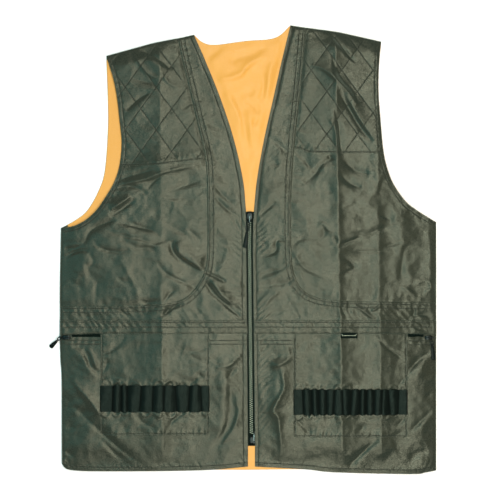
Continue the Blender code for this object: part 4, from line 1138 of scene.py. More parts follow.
def build_chest(side, step):
    """Side front: a Coons patch from the side seam and armhole in to the curved seam."""
    lines = LINES[side]
    front = lines.front
    x, y = plan_between(
        cut(lines.under_seam, lines.under_seam[-1], front["seam_bend"]),
        cut(lines.shoulder, front["shoulder"][0], front["seam"][0]),
        (
            cut(lines.side, lines.under_seam[-1], front["armhole_foot"]),
            cut(lines.armhole, front["armhole_foot"], front["shoulder"][0]),
        ),
        (
            cut(lines.under_seam, front["seam_bend"], lines.foot_on_seam),
            cut(lines.under_seam, lines.foot_on_seam, front["seam"][0]),
        ),
        step,
    )
    return cloth("chest", side, x, y, f"front_side_{side}", ("olive nylon", "orange lining"))


def build_strip(side, step):
    """Centre front: straight lines across from the curved seam to the free edge and the waist."""
    lines = LINES[side]
    front = lines.front
    seam_points, edge_points, _ = sections(
        (
            cut(lines.lapped_seam, front["seam"][0], lines.foot_on_seam),
            cut(lines.lapped_seam, lines.foot_on_seam, front["seam_bend"]),
            cut(lines.lapped_seam, front["seam_bend"], front["seam"][-1]),
        ),
        (
            cut(lines.neck, front["front_edge"][0], front["front_edge"][-1]),
            cut(lines.zip_line, front["zip_edge"][0], lines.waist_corner),
            straight(lines.waist_corner, front["side_at_waist"]),
        ),
        step,
    )
    u = spacing(STRIP_WIDTH, step)[None, :]
    x = seam_points[:, :1] * (1 - u) + edge_points[:, :1] * u
    y = seam_points[:, 1:] * (1 - u) + edge_points[:, 1:] * u
    return cloth("strip", side, x, y, f"front_centre_{side}", ("olive nylon", "orange lining"))


def build_lower(side, step):
    """Lower front: a Coons patch from the hem up to the waist seam."""
    lines = LINES[side]
    front = lines.front
    level = WAISTBAND_BOTTOM_Y + UNDER_WAISTBAND
    at_side = on_edge(front["side"], level)
    at_zip = on_edge(front["zip_edge"], level)
    x, y = plan_between(
        lines.hem,
        straight(at_side, at_zip),
        (cut(lines.side, front["hem"][0], at_side),),
        (cut(lines.zip_line, front["hem"][-1], at_zip),),
        step,
    )
    return cloth("lower", side, x, y, f"front_lower_{side}", ("olive nylon", "orange lining"))


def build_patch(side, step):
    """Quilted shoulder patch, over the upper part of the side front."""
    lines = LINES[side]
    front = lines.front
    inner = offset(lines.lapped_seam, 0.3, lines.out)
    x, y = plan_between(
        lines.patch_bottom,
        cut(lines.shoulder, front["shoulder"][0], inner[0]),
        (cut(lines.armhole, lines.patch_bottom[0], front["shoulder"][0]),),
        (cut(inner, lines.patch_bottom[-1], inner[0]),),
        step,
    )
    return cloth("patch", side, x, y, f"shoulder_patch_{side}", ("olive nylon",))


def build_placket(side, step):
    """Waist placket: a strip over the top of the lower front, from the side seam to the zip."""
    lines = LINES[side]
    front = lines.front
    level = WAISTBAND_BOTTOM_Y - SEAM_GAP
    at_side = on_edge(front["side"], level)
    at_zip = on_edge(front["zip_edge"], level)
    bottom = lines.placket_bottom
    x, y = plan_between(
        bottom,
        straight(at_side, at_zip),
        (straight(bottom[0], at_side),),
        (straight(bottom[-1], at_zip),),
        step,
    )
    return cloth("placket", side, x, y, f"placket_{side}", ("olive nylon",))


def build_pocket(side, step):
    """Patch pocket: a rectangle with small round corners at its bottom."""
    lines = LINES[side]
    front = lines.front
    left, right = front["loops"][0], front["loops"][-1]
    bottom, top = front["pocket_bottom"], PLACKET_BOTTOM_Y - SEAM_GAP / 2 + POCKET_UNDER_PLACKET
    u, v = np.meshgrid(spacing(abs(right - left), step), spacing(top - bottom, step))
    x = left + (right - left) * u
    y = bottom + (top - bottom) * v
    from_corner = np.minimum(u, 1 - u) * abs(right - left)
    y = y + edge_round(from_corner, POCKET_CORNER) * (1 - v) ** 6
    return cloth("pocket", side, x, y, f"pocket_{side}", ("olive nylon",))


# Where the grid lines run across one cartridge loop, as shares of its width
LOOP_STATIONS = np.array((0.0, 0.025, 0.07, 0.14, 0.25, 0.4, 0.6, 0.75, 0.86, 0.93, 0.975))


def build_band(side, step):
    """Cartridge band: elastic sewn down at each line and arched over each loop."""
    lines = LINES[side]
    front = lines.front
    loops = np.array(front["loops"])
    places = (loops[:-1, None] + np.diff(loops)[:, None] * LOOP_STATIONS).ravel()
    height = front["band_top"] - front["band_bottom"]
    up = spacing(height, step)
    x, y = np.meshgrid(np.append(places, loops[-1]), front["band_bottom"] + height * up)
    share, _, arch = loop_shares(lines, x, y)
    from_middle = (2.0 * up - 1.0)[:, None]
    y = y + (0.55 * arch * np.abs(np.sin(np.pi * share)) - 0.9) * from_middle
    swayed = x + 0.5 * np.sin(2.6 * np.floor(share + 0.02)) * np.sin(np.pi * share) * from_middle
    x = np.where((x > loops.min()) & (x < loops.max()), swayed, x)
    high = top_of("band", lines, x, y) - edge_round(border_distance(x, y), 0.6)
    low = high - BAND_THICKNESS + 2 * edge_round(border_distance(x, y), 0.5)
    rows = stitch_distances("band", lines, x, y)
    obj = shell(f"cloth_cartridge_band_{side}", x, y, low, high, ("black webbing",), rows)
    return keep(obj, "black_webbing", f"cartridge_band_{side}")


def cloth(kind, side, x, y, node, finishes):
    """One cloth piece of a front, its top as top_of gives and its edges rounded."""
    lines = LINES[side]
    high = top_of(kind, lines, x, y)
    low = form(lines.front, x, y) + LIFTS[kind][0]
    if kind == "chest":
        to_seam, _ = nearest_on(lines.under_seam, x, y)
        low -= SINK * (1.0 - smooth_step((to_seam - 4.0) / 5.0))
    if kind == "lower":
        low -= SINK * smooth_step((y - WAISTBAND_BOTTOM_Y + 4.0) / 5.0)
    distance = border_distance(x, y)
    high = np.maximum(high, low + 0.35) - edge_round(distance)
    low = np.minimum(low + edge_round(distance) * 0.6, high - 0.04)
    rows = stitch_distances(kind, lines, x, y)
    return keep(shell(f"cloth_{node}", x, y, low, high, finishes, rows), "olive_nylon", node)


# Back

# Grid steps of the back's two layers, and how far the lining's borders lie in at the side seams
# and at the free edges
BACK_STEP = 5.0
LINING_STEP = 3.6
LINING_INSETS = (6.6, 0.15)


def back_plan(step, side_inset, edge_inset):
    """Plan grid of the whole back, its borders moved in by the insets at seams and free edges."""
    right = LINES["right"]
    left = LINES["left"]
    armhole = smooth_edge(ARMHOLE_BACK_RIGHT)
    neck = smooth_edge(BACK_NECK)
    top = np.vstack((right.shoulder, neck[1:], left.shoulder[::-1][1:]))
    x, y = plan_between(
        smooth_edge(HEM_BACK), top,
        (right.side, armhole), (left.side, left.armhole),
        step,
    )
    rows, columns = x.shape
    foot = int(np.argmin(np.abs(y[:, 0] - BACK_FOOT_Y)))
    inset = np.where(np.arange(rows) <= foot, side_inset, edge_inset)[:, None]
    across_share = np.linspace(0.0, 1.0, columns)[None, :]
    x = x + inset * ((1 - across_share) ** 8 - across_share ** 8)
    over_neck = (x[-1] > BACK_NECK[0][0]) & (x[-1] < BACK_NECK[-1][0])
    top_inset = np.where(over_neck, edge_inset, side_inset)[None, :]
    up_share = np.linspace(0.0, 1.0, rows)[:, None]
    y = y - top_inset * up_share ** 8 + edge_inset * (1 - up_share) ** 8
    return x, y


def in_neck(x, y):
    """1 where the lining shows between the two front edges, and 0 under the fronts."""
    right = beside(FRONT_EDGE_RIGHT, y)
    left = beside(FRONT_EDGE_LEFT, y)
    open_width = np.minimum(x - right, left - x)
    return smooth_step((open_width - 1.0) / 12.0) * smooth_step((y - 80.0) / 30.0)


def build_back_shell():
    """Olive back: flat sheet with a little crumpling on its underside, clear of its edges."""
    x, y = back_plan(BACK_STEP, 0.0, 0.0)
    distance = border_distance(x, y)
    amount = 0.35 * bpy.context.scene.vest_sizes.crumple
    wrinkle = amount * crumple(x, y, 30.0, 91) * smooth_step((distance - 3.0) / 14.0)
    high = 1.4 - 0.3 * wrinkle - edge_round(distance, 0.6)
    low = wrinkle + edge_round(distance, 0.6) * 0.5
    back = shell("cloth_back_shell", x, y, low, high, ("olive nylon",))
    return keep(back, "olive_nylon", "back_shell")


def build_back_lining():
    """Orange lining, creased and crumpled where it shows inside the neck, with a row of stitches
    and puckers along the back neck."""
    x, y = back_plan(LINING_STEP, *LINING_INSETS)
    distance = border_distance(x, y)
    shown = in_neck(x, y) * smooth_step((distance - 1.0) / 10.0)
    relief = 1.4 * crease_rise(LINING_CREASES, x, y) + 1.6
    relief = positive(relief + crumpled(LINING_CRUMPLES, LINING_CRUMPLE_MEAN, x, y), 0.2)
    to_neck, along_neck = nearest_on(smooth_edge(BACK_NECK, 5), x, y)
    seam = groove(to_neck, TURNED_ROW, 0.4) + puckers("back neck", along_neck, to_neck)
    relief = relief * shown + seam * shown
    relief = relief + 0.3 * crumple(x, y, 26.0, 93) * (1 - shown)
    high = LINING_LEVEL + 1.1 + relief - edge_round(distance, 0.5)
    low = LINING_LEVEL + np.maximum(relief, 0.0) * 0.9 + edge_round(distance, 0.5) * 0.6
    low = np.minimum(low, high - 0.05)
    lining = shell("cloth_back_lining", x, y, low, high, ("orange lining",))
    return keep(lining, "orange_lining", "back_lining")


# Small hardware


def turned(points, heading, droop, origin):
    """Local points moved to the vest: tipped down by droop, turned to heading, then placed."""
    h = math.radians(heading)
    d = math.radians(droop)
    turn = np.array(((math.cos(h), -math.sin(h), 0), (math.sin(h), math.cos(h), 0), (0, 0, 1)))
    tip = np.array(((math.cos(d), 0, math.sin(d)), (0, 1, 0), (-math.sin(d), 0, math.cos(d))))
    return points @ (turn @ tip).T + np.array(origin)


def placed(shape, heading, origin):
    """A shape's points turned to a heading and placed, and its faces."""
    points, faces = shape
    return turned(points, heading, 0.0, origin), faces


def face_total(faces):
    return sum(len(block) for block in faces)


def signed_power(value, power):
    """A power of the value's size, with the value's sign."""
    return np.sign(value) * np.abs(value) ** power


def loft(stations, around=20):
    """A closed body along x: at each station a superellipse |y/w|^p + |z/h|^p = 1 between its
    low and high level, and a point at each end. Gives its points and faces."""
    table = np.array(stations, float)
    along, width, low, high, power = table.T
    angle = 2 * np.pi * np.arange(around) / around
    cosine = np.cos(angle)[None]
    sine = np.sin(angle)[None]
    y = signed_power(cosine, 2 / power[:, None]) * width[:, None]
    z = signed_power(sine, 2 / power[:, None]) * ((high - low) / 2)[:, None]
    z = z + ((high + low) / 2)[:, None]
    x = np.broadcast_to(along[:, None], y.shape)
    rings = np.stack((x, y, z), -1).reshape(-1, 3)
    ends = np.array(((along[0], 0, (low[0] + high[0]) / 2), (along[-1], 0, (low[-1] + high[-1]) / 2)))
    return np.vstack((rings, ends)), ring_faces(len(table), around)


def ring_faces(count, around):
    """Faces between rings of points, with a fan to one point at each end."""
    index = np.arange(count * around).reshape(count, around)
    after = np.roll(index, -1, 1)
    sides = grid_quads(np.column_stack((index, index[:, 0])))
    first = np.full(around, count * around)
    fans = np.vstack((
        np.column_stack((after[0], index[0], first)), np.column_stack((index[-1], after[-1], first + 1)),
    ))
    return sides, fans


def tube(path, radius, around=8, closed=True):
    """A round bar along a path that closes on itself, or that ends in a point at each end."""
    path = np.asarray(path, float)
    tangent = np.roll(path, -1, 0) - np.roll(path, 1, 0) if closed else np.gradient(path, axis=0)
    tangent = unit(tangent)
    upright = np.abs(tangent[:, 2]).max() > 0.9
    across_path = unit(np.cross(tangent, (0.0, 1.0, 0.0) if upright else (0.0, 0.0, 1.0)))
    lift = np.cross(across_path, tangent)
    angle = 2 * np.pi * np.arange(around) / around
    rings = (
        path[:, None] + radius * np.cos(angle)[None, :, None] * across_path[:, None]
        + radius * np.sin(angle)[None, :, None] * lift[:, None]
    )
    count = len(path)
    if closed:
        index = np.arange(count * around).reshape(count, around)
        after = np.roll(index, -1, 1)
        on = np.roll(index, -1, 0)
        sides = np.stack((index, on, np.roll(on, -1, 1), after), -1).reshape(-1, 4)
        return rings.reshape(-1, 3), (sides,)
    sides, fans = ring_faces(count, around)
    return np.vstack((rings.reshape(-1, 3), path[:1], path[-1:])), (sides[:, ::-1], fans[:, ::-1])


def ring_path(start, end, half_width, twist=0.0, count=36):
    """A long ring along x: a superellipse whose height waves by twist."""
    angle = 2 * np.pi * np.arange(count) / count
    cosine, sine = np.cos(angle), np.sin(angle)
    x = (start + end) / 2 + (end - start) / 2 * signed_power(cosine, 0.75)
    y = half_width * signed_power(sine, 0.75)
    return np.column_stack((x, y, twist * np.sin(2 * angle)))


def joined(*parts):
    """Points and faces of several shapes as one."""
    points = []
    faces = []
    done = 0
    for part_points, blocks in parts:
        points.append(part_points)
        faces += [block + done for block in blocks]
        done += len(part_points)
    return np.vstack(points), faces


def copies(points, faces, origins, along):
    """A small shape placed many times: its x runs along a direction, and its z as near to
    straight up as that allows."""
    along = unit(along)
    side = unit(np.cross((0.0, 0.0, 1.0), along))
    axes = np.stack((along, side, np.cross(along, side)), 1)
    moved = np.einsum("kc,ncd->nkd", points, axes) + origins[:, None]
    shift = (np.arange(len(origins)) * len(points))[:, None, None]
    blocks = [(block[None] + shift).reshape(-1, block.shape[1]) for block in faces]
    return moved.reshape(-1, 3), blocks


def hinge_place(name):
    """Where a pull hangs, in millimetres, from the record."""
    joints = frame["record"]["behaviour"]["joints"]
    return np.array(next(j["pos_m"] for j in joints if j["name"] == name)) / MM


# One zip tooth: its outline in plan, then its levels, columns height, size
TOOTH_OUTLINE = (
    (-1.15, -0.3), (-1.0, -0.47), (0.8, -0.47), (1.15, -0.25),
    (1.15, 0.25), (0.8, 0.47), (-1.0, 0.47), (-1.15, 0.3),
)
TOOTH_LEVELS = ((0.0, 1.0), (1.35, 1.0), (1.85, 0.72))
TOOTH_OUT = 1.3


def tooth():
    """One zip tooth: an eight-sided outline at three levels, drawn in at the top."""
    outline = np.array(TOOTH_OUTLINE)
    count = len(outline)
    points = np.vstack([
        np.column_stack((outline * size, np.full(count, z))) for z, size in TOOTH_LEVELS
    ])
    index = np.arange(len(points)).reshape(-1, count)
    sides = grid_quads(np.column_stack((index, index[:, 0])))
    lid = np.array(((0, 1, 6, 7), (1, 2, 5, 6), (2, 3, 4, 5)))
    return points, (sides, lid + index[-1, 0], lid[:, ::-1])


def zip_middle(y):
    return (beside(ZIP_EDGE_RIGHT, y) + beside(ZIP_EDGE_LEFT, y)) / 2


def zip_rows():
    """Heights y of the grid lines of the front zip's tapes and cord."""
    return np.linspace(ZIP_TAPE_Y[0], ZIP_TAPE_Y[1], 94)


def build_zip_tape(side):
    """One tape of the front zip, from beside the teeth to under the front's edge."""
    y = zip_rows()
    out = FRONTS[side]["out"]
    inner = zip_middle(y) + out * (CHAIN_HALF_WIDTH - 0.4)
    outer = beside(FRONTS[side]["zip_edge"], y) + out * TAPE_UNDER_EDGE
    share = np.array((0.0, 0.012, 0.1, 0.4, 0.7, 0.95, 0.99, 1.0))
    x = inner[:, None] * (1 - share) + outer[:, None] * share
    rows = np.broadcast_to(y[:, None], x.shape)
    wave = 0.04 * np.sin(rows * 2.2)
    low = np.full(x.shape, FRONT_LEVEL + 0.02)
    tape = shell(f"cloth_zip_tape_{side}", x, rows, low, low + 0.42 + wave, ("black tape",))
    return keep(tape, "black_tape", f"zip_tape_{side}")


def build_zip_cord():
    """The cord that the teeth grip, a low ridge along the middle."""
    y = zip_rows()
    share = np.array((-1.0, -0.9, -0.25, 0.0, 0.25, 0.9, 1.0))
    x = zip_middle(y)[:, None] + share * CHAIN_HALF_WIDTH * 0.96
    rows = np.broadcast_to(y[:, None], x.shape)
    low = np.full(x.shape, FRONT_LEVEL + 0.48)
    high = low + 0.5 - 0.2 * np.abs(share)
    keep(shell("zip_cord", x, rows, low, high, ("black tape",)), "black_tape")


def build_teeth():
    """The teeth, from the two tapes in turn, each pointing to the other side."""
    pitch = bpy.context.scene.vest_sizes.tooth_pitch / MM
    step = np.arange(2 * int((ZIP_TOP_Y - ZIP_BOTTOM_Y) / pitch))
    side = np.where(step % 2 == 0, -1.0, 1.0)
    place = ZIP_TOP_Y - 1.0 - step * pitch / 2
    level = np.full(len(step), FRONT_LEVEL + 0.55)
    origins = np.column_stack((zip_middle(place) + side * TOOTH_OUT, place, level))
    nothing = np.zeros(len(step))
    points, faces = copies(*tooth(), origins, np.column_stack((-side, nothing, nothing)))
    keep(new_mesh("zip_teeth", points, faces, ("zip teeth",)), "dark_metal", "zip_chain")


# Box and pin at the zip's bottom: where they lie, then their form along their length, columns
# place, half width, low, high, power
BOX_PLACE = (5.4, -304.4, FRONT_LEVEL)
PIN_PLACE = (8.0, -301.0, FRONT_LEVEL + 1.4)
BOX_STATIONS = (
    (-6.3, 3.2, 0.2, 2.6, 4), (-6.1, 4.2, 0.1, 3.2, 4), (-4.0, 4.8, 0.0, 3.6, 5),
    (2.0, 4.8, 0.0, 3.6, 5), (3.0, 4.4, 0.0, 3.0, 5), (6.1, 3.4, 0.1, 2.6, 4), (6.3, 2.6, 0.2, 2.2, 4),
)
PIN_STATIONS = (
    (-9.0, 0.9, 0.4, 2.4, 2), (-8.8, 1.1, 0.2, 2.6, 2), (9.0, 1.1, 0.2, 2.6, 2), (9.2, 0.8, 0.5, 2.2, 2),
)


def build_zip_box():
    """The box at the zip's bottom, and the bright pin that stands in it."""
    body = placed(loft(BOX_STATIONS), 90.0, BOX_PLACE)
    pin = placed(loft(PIN_STATIONS, 10), 90.0, PIN_PLACE)
    points, faces = joined(body, pin)
    bright = np.repeat((0, 1), (face_total(body[1]), face_total(pin[1])))
    box = new_mesh("zip_box_and_pin", points, faces, ("dark metal", "bright metal"), bright)
    keep(box, "dark_metal", "zip_box")


# A slider's parts along its length, columns share of half its length and mm more, share of its
# width, share of its height where it starts and mm more, share where it ends, power of the section
SLIDER_PARTS = (
    (
        (-1.0, 0.0, 0.26, 0.0, 0.1, 0.3, 4), (-1.0, 0.4, 0.34, 0.0, 0.0, 0.42, 5),
        (-0.3, 0.0, 0.48, 0.0, 0.0, 0.45, 5), (0.45, 0.0, 0.5, 0.0, 0.0, 0.45, 5),
        (1.0, -0.5, 0.4, 0.0, 0.0, 0.42, 5), (1.0, 0.0, 0.3, 0.0, 0.1, 0.3, 4),
    ),
    (
        (-1.0, 0.0, 0.2, 0.5, 0.0, 0.7, 4), (-1.0, 0.5, 0.32, 0.46, 0.0, 0.92, 4),
        (-0.3, 0.0, 0.46, 0.46, 0.0, 1.0, 4), (0.45, 0.0, 0.49, 0.46, 0.0, 0.98, 4),
        (1.0, -0.6, 0.36, 0.46, 0.0, 0.86, 4), (1.0, 0.0, 0.22, 0.5, 0.0, 0.7, 4),
    ),
    ((-0.7, 0.0, 0.2, 0.3, 0.0, 0.6, 3), (0.7, 0.0, 0.2, 0.3, 0.0, 0.6, 3)),
)
BAIL_RADIUS = 0.72
HOOK_RADIUS = 1.75


def bail_path(half, height, reach, level):
    """The bail's middle line: up from the slider's back, level to the pull, and hooked round it."""
    start = -half * 0.62
    share = np.linspace(0.0, 1.0, 18)
    hook = np.linspace(0.5 * np.pi, -0.78 * np.pi, 14)
    climb = np.sin(np.pi / 2 * np.clip(share * 2.6, 0, 1))
    bridge = np.column_stack((
        start + (reach - start) * share, np.zeros(18),
        height * 0.8 + (level + HOOK_RADIUS - height * 0.8) * climb,
    ))
    round_pull = np.column_stack((
        reach + HOOK_RADIUS * np.cos(hook), np.zeros(14), level + HOOK_RADIUS * np.sin(hook),
    ))
    return np.vstack((bridge[:-1], round_pull))


def build_slider(node, base, length, width, height, heading, pivot):
    """A zip slider: a body that narrows to its nose, flanges, and a bail that hooks the pull.
    The front zip's bail is made in the bright metal, a painted highlight along it."""
    half = length / 2
    body = [
        loft([
            (half * along + more, width * wide, height * low + up, height * high, power)
            for along, more, wide, low, up, high, power in part
        ])
        for part in SLIDER_PARTS
    ]
    reach = math.hypot(pivot[0] - base[0], pivot[1] - base[1])
    bail = tube(bail_path(half, height, reach, pivot[2] - base[2]), BAIL_RADIUS, 10, closed=False)
    points, faces = joined(*body, bail)
    # 1 on the front zip's slider: its bail takes the bright metal, a painted highlight
    worn = int(node == "zip_slider")
    finish = np.repeat((0, worn), (face_total(faces) - face_total(bail[1]), face_total(bail[1])))
    points = turned(points, heading, 0.0, base)
    slider = new_mesh(f"{node}_with_bail", points, faces, ("dark metal", "bright metal"), finish)
    keep(slider, "dark_metal", node)


def build_pocket_zips():
    """A tape half under each placket, its coil, and the slider at its outer end."""
    for side, (outer, inner) in POCKET_ZIPS.items():
        lines = LINES[side]
        x, y = np.meshgrid(np.linspace(outer, inner, 24), POCKET_TAPE_ROWS_Y)
        level = form(lines.front, x, y) + SHELL_TOP + 0.05 + lower_relief(lines, x, y) * 0.3
        tape = shell(f"cloth_pocket_zip_{side}", x, y, level, level + 0.22, ("black tape",))
        keep(tape, "black_tape", f"pocket_zip_{side}")
        share = np.linspace(0.0, 1.0, 90)
        x = outer + (inner - outer) * share
        y = COIL_Y + 0.3 * np.sin(share * 9.0)
        z = form(lines.front, x, y) + SHELL_TOP + 0.95
        points, faces = tube(np.column_stack((x, y, z)), COIL_RADIUS, 8, closed=False)
        keep(new_mesh(f"pocket_zip_coil_{side}", points, faces, ("black tape",)), "black_tape")
        centre, size, heading = SLIDERS[side]
        pivot = hinge_place(f"pocket_pull_{side}_swing")
        base = (*centre, pivot[2] - 0.6 - size[2])
        build_slider(f"pocket_zip_slider_{side}", base, *size, heading, pivot)


def build_pulls():
    """Each pull is a bent ring and a tapered tab on its own body, hung where the record says."""
    for name, body, joint, heading, link_length, tab_length, droop in PULLS:
        origin = hinge_place(joint)
        radius, twist = (1.1, 0.35) if name == "zip" else (0.9, 0.15)
        link_end = link_length - 1.0
        points, faces = tube(ring_path(-0.1, link_end - radius, 2.05, twist), radius, 10)
        points = turned(points, heading, droop, origin)
        link = new_mesh(f"{name}_ring", points, faces, ("dark metal",))
        keep(link, "dark_metal", f"{name}_link", body=body)
        start = link_end + 0.3
        end = start + tab_length
        plate = loft((
            (start, 1.2, -0.4, 0.4, 2), (start + 0.5, 2.0, -0.8, 0.8, 2),
            (start + 4.0, 2.5, -0.95, 0.95, 2), ((start + end) / 2, 3.1, -0.95, 0.95, 2),
            (end - 3.0, 3.65, -0.95, 0.95, 2),
            (end - 1.8, 3.5, -0.9, 0.9, 2), (end - 0.9, 3.0, -0.8, 0.8, 2),
            (end - 0.3, 2.1, -0.55, 0.55, 2), (end, 1.1, -0.3, 0.3, 2),
        ), 24)
        eye = tube(ring_path(start - 3.0, start + 1.4, 1.1, 0.0, 20)[:, [0, 2, 1]], 0.55, 8)
        points, faces = joined(plate, eye)
        points = turned(points, heading, droop, origin)
        tab = new_mesh(f"{name}_tab", points, faces, ("dark plastic",))
        keep(tab, "dark_plastic", f"{name}_pull", body=body)


def under_label(lines, x, y):
    """Height of what the tab lies on: the placket, and the pocket below the placket's edge."""
    level = form(lines.front, x, y) + LABEL_LIFT
    return np.maximum(level, level + placket_relief(lines, x, y) * (y > LABEL_ON_PLACKET_Y))


def build_label():
    """Bare tab: one strip folded in two, its profile a flat U carried along the pocket's top."""
    low, high = LABEL_Y
    turn = low + 0.5
    bend = np.linspace(-0.5 * np.pi, -1.5 * np.pi, 9)[1:-1]
    fold = np.column_stack((turn + 0.5 * np.cos(bend), LABEL_FOLD + LABEL_FOLD * np.sin(bend)))
    under = np.column_stack((np.linspace(high, turn, 8), np.zeros(8)))
    over = np.column_stack((np.linspace(turn, high, 8), np.full(8, 2 * LABEL_FOLD)))
    profile = np.vstack((under, fold, over))
    shape = (len(profile), 25)
    x = np.broadcast_to(LABEL_X[0] + (LABEL_X[1] - LABEL_X[0]) * np.linspace(0.0, 1.0, 25), shape)
    y = np.broadcast_to(profile[:, :1], shape)
    rise = np.broadcast_to(profile[:, 1:], shape)
    middle = np.stack((x, y, under_label(LINES["left"], x, y) + 0.2 + rise), -1)
    slope = unit(np.gradient(profile, axis=0))
    normal = np.column_stack((np.zeros(len(slope)), -slope[:, 1], slope[:, 0]))[:, None]
    points = np.vstack([
        (middle + normal * away).reshape(-1, 3) for away in (LABEL_HALF_THICKNESS, -LABEL_HALF_THICKNESS)
    ])
    faces = [block[:, ::-1] for block in sheet_faces(shape)]
    label = new_mesh("cloth_label_tab", points, faces, ("black tape",))
    keep(label, "black_tape", "label_tab")


def build_label_stitches():
    """A pale row of stitches on the tab, along its lower edge and turned up at both ends."""
    left, right = LABEL_X[0] + LABEL_SEAM_X, LABEL_X[1] - LABEL_SEAM_X
    top, bottom = LABEL_SEAM_Y
    path = np.array((
        (left - 0.8, top), (left + 0.4, bottom), (right - 0.4, bottom), (right + 0.8, top),
    ))
    shares = (np.arange(LABEL_STITCHES) + 0.5) / LABEL_STITCHES
    spots = sampled(path, shares)
    ahead = sampled(path, shares + 0.02) - sampled(path, shares - 0.02)
    level = under_label(LINES["left"], spots[:, 0], spots[:, 1])
    middles = np.column_stack((spots, level + 0.2 + 2 * LABEL_FOLD + LABEL_HALF_THICKNESS + 0.1))
    directions = np.column_stack((ahead, np.zeros(LABEL_STITCHES)))
    points, faces = copies(np.array(STITCH) * (0.75, 1.7, 1.6), stitch_faces(), middles, directions)
    keep(new_mesh("tab_stitches", points, faces, ("pale thread",)), "black_tape")


# Stitching

# Points of one stitch along x, its two tips first and last
STITCH = (
    (-1.35, 0.0, 0.0), (-0.95, -0.32, -0.05), (-0.95, 0.0, 0.2), (-0.95, 0.32, -0.05), (-0.95, 0.0, -0.22),
    (0.95, -0.32, -0.05), (0.95, 0.0, 0.2), (0.95, 0.32, -0.05), (0.95, 0.0, -0.22), (1.35, 0.0, 0.0),
)


def stitch_faces():
    """Faces of one stitch: four sides between two small squares, and a point at each end."""
    first = np.array((1, 2, 3, 4))
    second = first + 4
    sides = np.column_stack((first, np.roll(first, -1), np.roll(second, -1), second))
    tips = np.vstack((
        np.column_stack((np.full(4, 0), np.roll(first, -1), first)),
        np.column_stack((second, np.roll(second, -1), np.full(4, 9))),
    ))
    return sides[:, ::-1], tips[:, ::-1]


def stitch_row(kind, side, path):
    """Middles and directions of the stitches along a plan path, a pitch apart, on the cloth's top."""
    pitch = bpy.context.scene.vest_sizes.stitch_pitch / MM
    lines = LINES[side]
    count = int(run_lengths(path)[-1] / pitch)
    if count < 2:
        return np.empty((0, 3)), np.empty((0, 3))
    shares = (np.arange(count) + 0.5) / count

    def on_cloth(shares):
        points = sampled(path, shares)
        height = top_of(kind, lines, points[:, 0], points[:, 1])
        return np.column_stack((points, height + STITCH_LIFT))

    ahead = on_cloth(np.clip(shares + 0.4 / count, 0, 1)) - on_cloth(np.clip(shares - 0.4 / count, 0, 1))
    return on_cloth(shares), ahead


def quilt_lines(side):
    """Stretches of the quilting's sewn lines that lie inside the patch."""
    lines = LINES[side]
    outline = np.vstack((
        lines.patch_bottom, cut(lines.lapped_seam, lines.patch_bottom[-1], lines.lapped_seam[0]),
        cut(lines.shoulder, lines.front["seam"][0], lines.front["shoulder"][0]),
        cut(lines.armhole, lines.front["shoulder"][0], lines.patch_bottom[0]),
    ))
    found = []
    t = np.arange(-420.0, 420.0, 2.0)
    for lean in (QUILT_ANGLE, -QUILT_ANGLE):
        for number in range(-16, 17):
            away = (number - QUILT_SHIFT * lines.out) * QUILT_SPACING
            x = away * math.sin(lean) + t * math.cos(lean)
            y = -away * math.cos(lean) + t * math.sin(lean)
            inside = inside_outline(outline, x, y) & (nearest_on(outline, x, y)[0] > 7.0)
            edges = np.flatnonzero(np.diff(np.concatenate(([0], inside.astype(int), [0]))))
            for first, last in zip(edges[::2], edges[1::2]):
                if last - first > 6:
                    found.append(np.column_stack((x[first:last], y[first:last])))
    return found


def inside_outline(outline, x, y):
    """Whether points lie inside a closed outline: the number of its sides to their right is odd."""
    odd = np.zeros(x.shape, bool)
    for (ax, ay), (bx, by) in zip(outline, np.roll(outline, -1, 0)):
        crosses = (ay > y) != (by > y)
        if crosses.any():
            at = ax + (bx - ax) * (y - ay) / (by - ay if by != ay else 1e-9)
            odd ^= crosses & (x < at)
    return odd


def stitch_paths(side):
    """Every row of stitches on one front, as (kind of piece, plan path)."""
    lines = LINES[side]
    front = lines.front
    out = lines.out
    upper_seam = cut(lines.lapped_seam, front["seam"][0], front["seam"][-1])
    rows = [("strip", offset(upper_seam, away, -out)[2:-4]) for away in SEAM_ROWS]
    edge = cut(lines.front_edge, front["front_edge"][0], lines.waist_corner)
    rows.append(("strip", offset(edge, front["edge_row"], out)[3:]))
    armhole = cut(lines.armhole, front["armhole_foot"], front["patch_outer"])
    rows.append(("chest", offset(armhole, TURNED_ROW, out)[4:]))
    armhole = cut(lines.armhole, front["patch_outer"], front["shoulder"][0])
    rows.append(("patch", offset(armhole, TURNED_ROW, out)[:-4]))
    rows.append(("patch", lines.patch_bottom + np.array((0.0, PATCH_ROW))))
    rows += [("patch", line) for line in quilt_lines(side)]
    at_side = front["side"][0][0] - out * 6.0
    at_zip = float(beside(front["zip_edge"], -120.0)) + out * 2.0
    for level in PLACKET_ROWS_Y:
        rows.append(("placket", straight((at_side, level), (at_zip, level))))
    outer, inner = front["loops"][0], front["loops"][-1]
    for level in LOWER_ROWS_Y:
        rows.append(("lower", straight((at_zip + out * 8.0, level), (inner - out * 2.0, level))))
        rows.append(("lower", straight((outer + out * 3.0, level - 1.0), (at_side, level - 1.0))))
    hem = offset(cut(lines.hem, front["hem"][0], front["hem"][-1]), TURNED_ROW, -out)
    rows.append(("lower", hem[4:-7]))
    down = np.linspace(*ZIP_ROW_Y, 60)
    beside_zip = beside(front["zip_edge"], down) + out * front["edge_row"]
    rows.append(("lower", np.column_stack((beside_zip, down))))
    bottom = front["pocket_bottom"] + POCKET_ROW
    left, right = outer - out * POCKET_ROW, inner + out * POCKET_ROW
    rows.append(("pocket", np.array((
        (left, POCKET_ROW_TOP_Y), (left, bottom + 3.0), (left - out * 3.0, bottom),
        (right + out * 3.0, bottom), (right, bottom + 3.0), (right, POCKET_ROW_TOP_Y),
    ))))
    return rows


